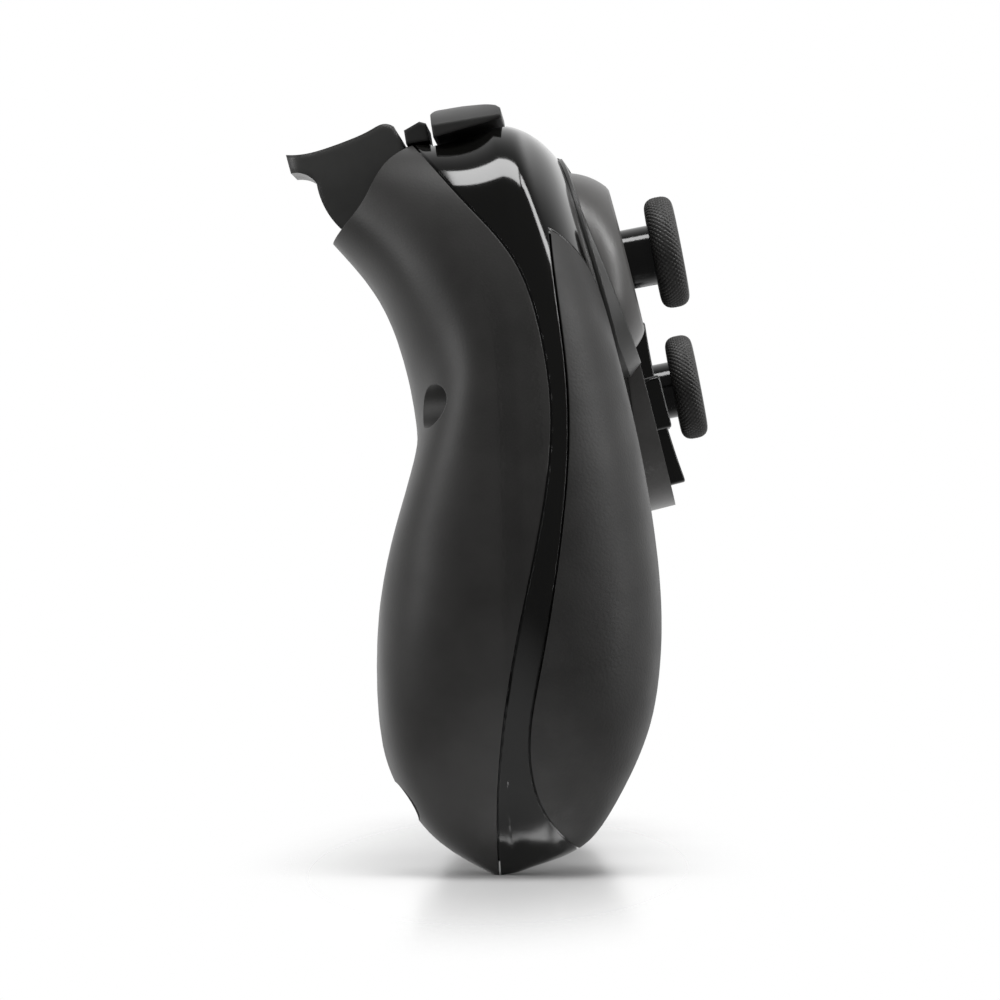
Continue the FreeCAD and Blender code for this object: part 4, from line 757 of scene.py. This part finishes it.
# Stage: a pale floor under the grip tips, and a white room with soft boxes

FLOOR_REACH = 190
# The floor is whole this near the middle and clear this far from it; depth counts as a quarter
FLOOR_WHOLE, FLOOR_FADE = 12, 42
DEPTH_SHARE = 0.25
FLOOR_SHINE = 0.42
# The tent's level in reflections on the camera's side, and the room's level as fill light
TENT_FRONT = 0.12
ROOM_LEVEL = 0.5


def tips_level():
    """The lowest point's place along the picture's upward direction, counted from the origin."""
    points = np.array([v.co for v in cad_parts["front_shell"].data.vertices])
    return float((points @ np.array(PICTURE_UP)).min())


def make_floor():
    """A pale glossy floor under the tips that fades out to the white room; it is clear from behind."""
    middle = MIDDLE - PICTURE_UP * (MIDDLE.dot(PICTURE_UP) - tips_level())
    reach = FLOOR_REACH * MM
    corners = [middle + Vector((1, 0, 0)) * x + PICTURE_RIGHT * y
               for x, y in ((-reach, -reach), (-reach, reach), (reach, reach), (reach, -reach))]
    mesh = bpy.data.meshes.new("floor")
    mesh.from_pydata(corners, [], [(0, 1, 2, 3)])
    if mesh.polygons[0].normal.dot(PICTURE_UP) < 0:
        mesh.flip_normals()
    floor = link("floor", mesh)
    mesh.materials.append(lacquered_board(middle))


def lacquered_board(middle):
    """White lacquered board: even white with a soft reflection, fading to clear away from the middle."""
    material, tree, shader, place = new_material("lacquered_board")
    settle(shader, Roughness=0.6, Specular_IOR_Level=0.0, Base_Color=srgb("#f6f6f6"))
    shine = add(tree, "BsdfGlossy", {"Color": (1, 1, 1, 1), "Roughness": 0.12})
    coated = add(tree, "MixShader", {0: FLOOR_SHINE, 1: shader.outputs[0], 2: shine.outputs[0]})
    offset = add(tree, "VectorMath", {0: place, 1: middle}, operation="SUBTRACT")
    narrowed = add(tree, "VectorMath", {0: offset.outputs[0], 1: (DEPTH_SHARE, 1, 1)},
                   operation="MULTIPLY")
    away = add(tree, "VectorMath", {0: narrowed.outputs[0]}, operation="LENGTH")
    fade = add(tree, "MapRange", {"Value": away.outputs["Value"], "From Min": FLOOR_WHOLE * MM,
                                  "From Max": FLOOR_FADE * MM}, interpolation_type="SMOOTHSTEP")
    back = add(tree, "NewGeometry").outputs["Backfacing"]
    clear = add(tree, "Math", {0: fade.outputs["Result"], 1: back}, operation="MAXIMUM")
    see = add(tree, "BsdfTransparent")
    mix = add(tree, "MixShader", {0: clear.outputs[0], 1: coated.outputs[0], 2: see.outputs[0]})
    tree.links.new(mix.outputs[0], tree.nodes["Material Output"].inputs["Surface"])
    return material


def make_world():
    """A photographer's tent: white to the camera and behind the object, dim on the camera's side."""
    world = bpy.data.worlds.new("studio")
    scene.world = world
    world.use_nodes = True
    tree = world.node_tree
    background = tree.nodes["Background"]
    ahead = add(tree, "VectorMath", {0: add(tree, "TexCoord").outputs["Generated"], 1: (1, 0, 0)},
                operation="DOT_PRODUCT")
    behind = add(tree, "MapRange", {"Value": ahead.outputs["Value"], "From Min": -0.2, "From Max": 0.75,
                                    "To Min": TENT_FRONT, "To Max": 1.0}, interpolation_type="SMOOTHSTEP")
    path = add(tree, "LightPath")
    mirrored = add(tree, "Math", {0: behind.outputs["Result"], 1: path.outputs["Is Glossy Ray"]},
                   operation="MULTIPLY")
    spread = add(tree, "Math", {0: path.outputs["Is Diffuse Ray"], 1: ROOM_LEVEL}, operation="MULTIPLY")
    seen = add(tree, "Math", {0: path.outputs["Is Camera Ray"], 1: path.outputs["Is Transmission Ray"]},
               operation="MAXIMUM")
    most = add(tree, "Math", {0: mirrored.outputs[0], 1: spread.outputs[0]}, operation="MAXIMUM")
    level = add(tree, "Math", {0: most.outputs[0], 1: seen.outputs[0]}, operation="MAXIMUM")
    background.inputs["Color"].default_value = (1, 1, 1, 1)
    tree.links.new(level.outputs[0], background.inputs["Strength"])


def picture_vector(right, up, near):
    """A direction given by its parts to the picture's right, upwards and towards the camera."""
    return PICTURE_RIGHT * right + PICTURE_UP * up - Vector((1, 0, 0)) * near


def make_lamp(name, place, along, length, width, power, gloss_only=False):
    """A soft box aimed at the object: its place and its long side are in the picture's directions."""
    data = bpy.data.lights.new(name, "AREA")
    data.shape = "RECTANGLE"
    data.size, data.size_y = length, width
    data.energy = power
    lamp = bpy.data.objects.new(name, data)
    back = picture_vector(*place).normalized()
    long_side = picture_vector(*along)
    long_side = (long_side - long_side.dot(back) * back).normalized()
    turn = Matrix((long_side, back.cross(long_side), back)).transposed()
    lamp.matrix_world = Matrix.Translation(MIDDLE + picture_vector(*place)) @ turn.to_4x4()
    lamp.visible_diffuse = not gloss_only
    scene.collection.objects.link(lamp)


make_camera()
make_floor()
make_world()
make_lamp("top_box", (0.1, 1.15, 0.25), (1, 0, 0), 0.7, 0.35, 8)
make_lamp("left_box", (-1.05, 0.30, 0.35), (0, 1, 0), 1.0, 0.15, 4)
make_lamp("right_box", (1.05, 0.15, 0.25), (0, 1, 0), 1.0, 0.15, 4)
make_lamp("corner_box", (0.85, 0.85, 0.25), (1, -1, 0), 0.9, 0.2, 6, gloss_only=True)
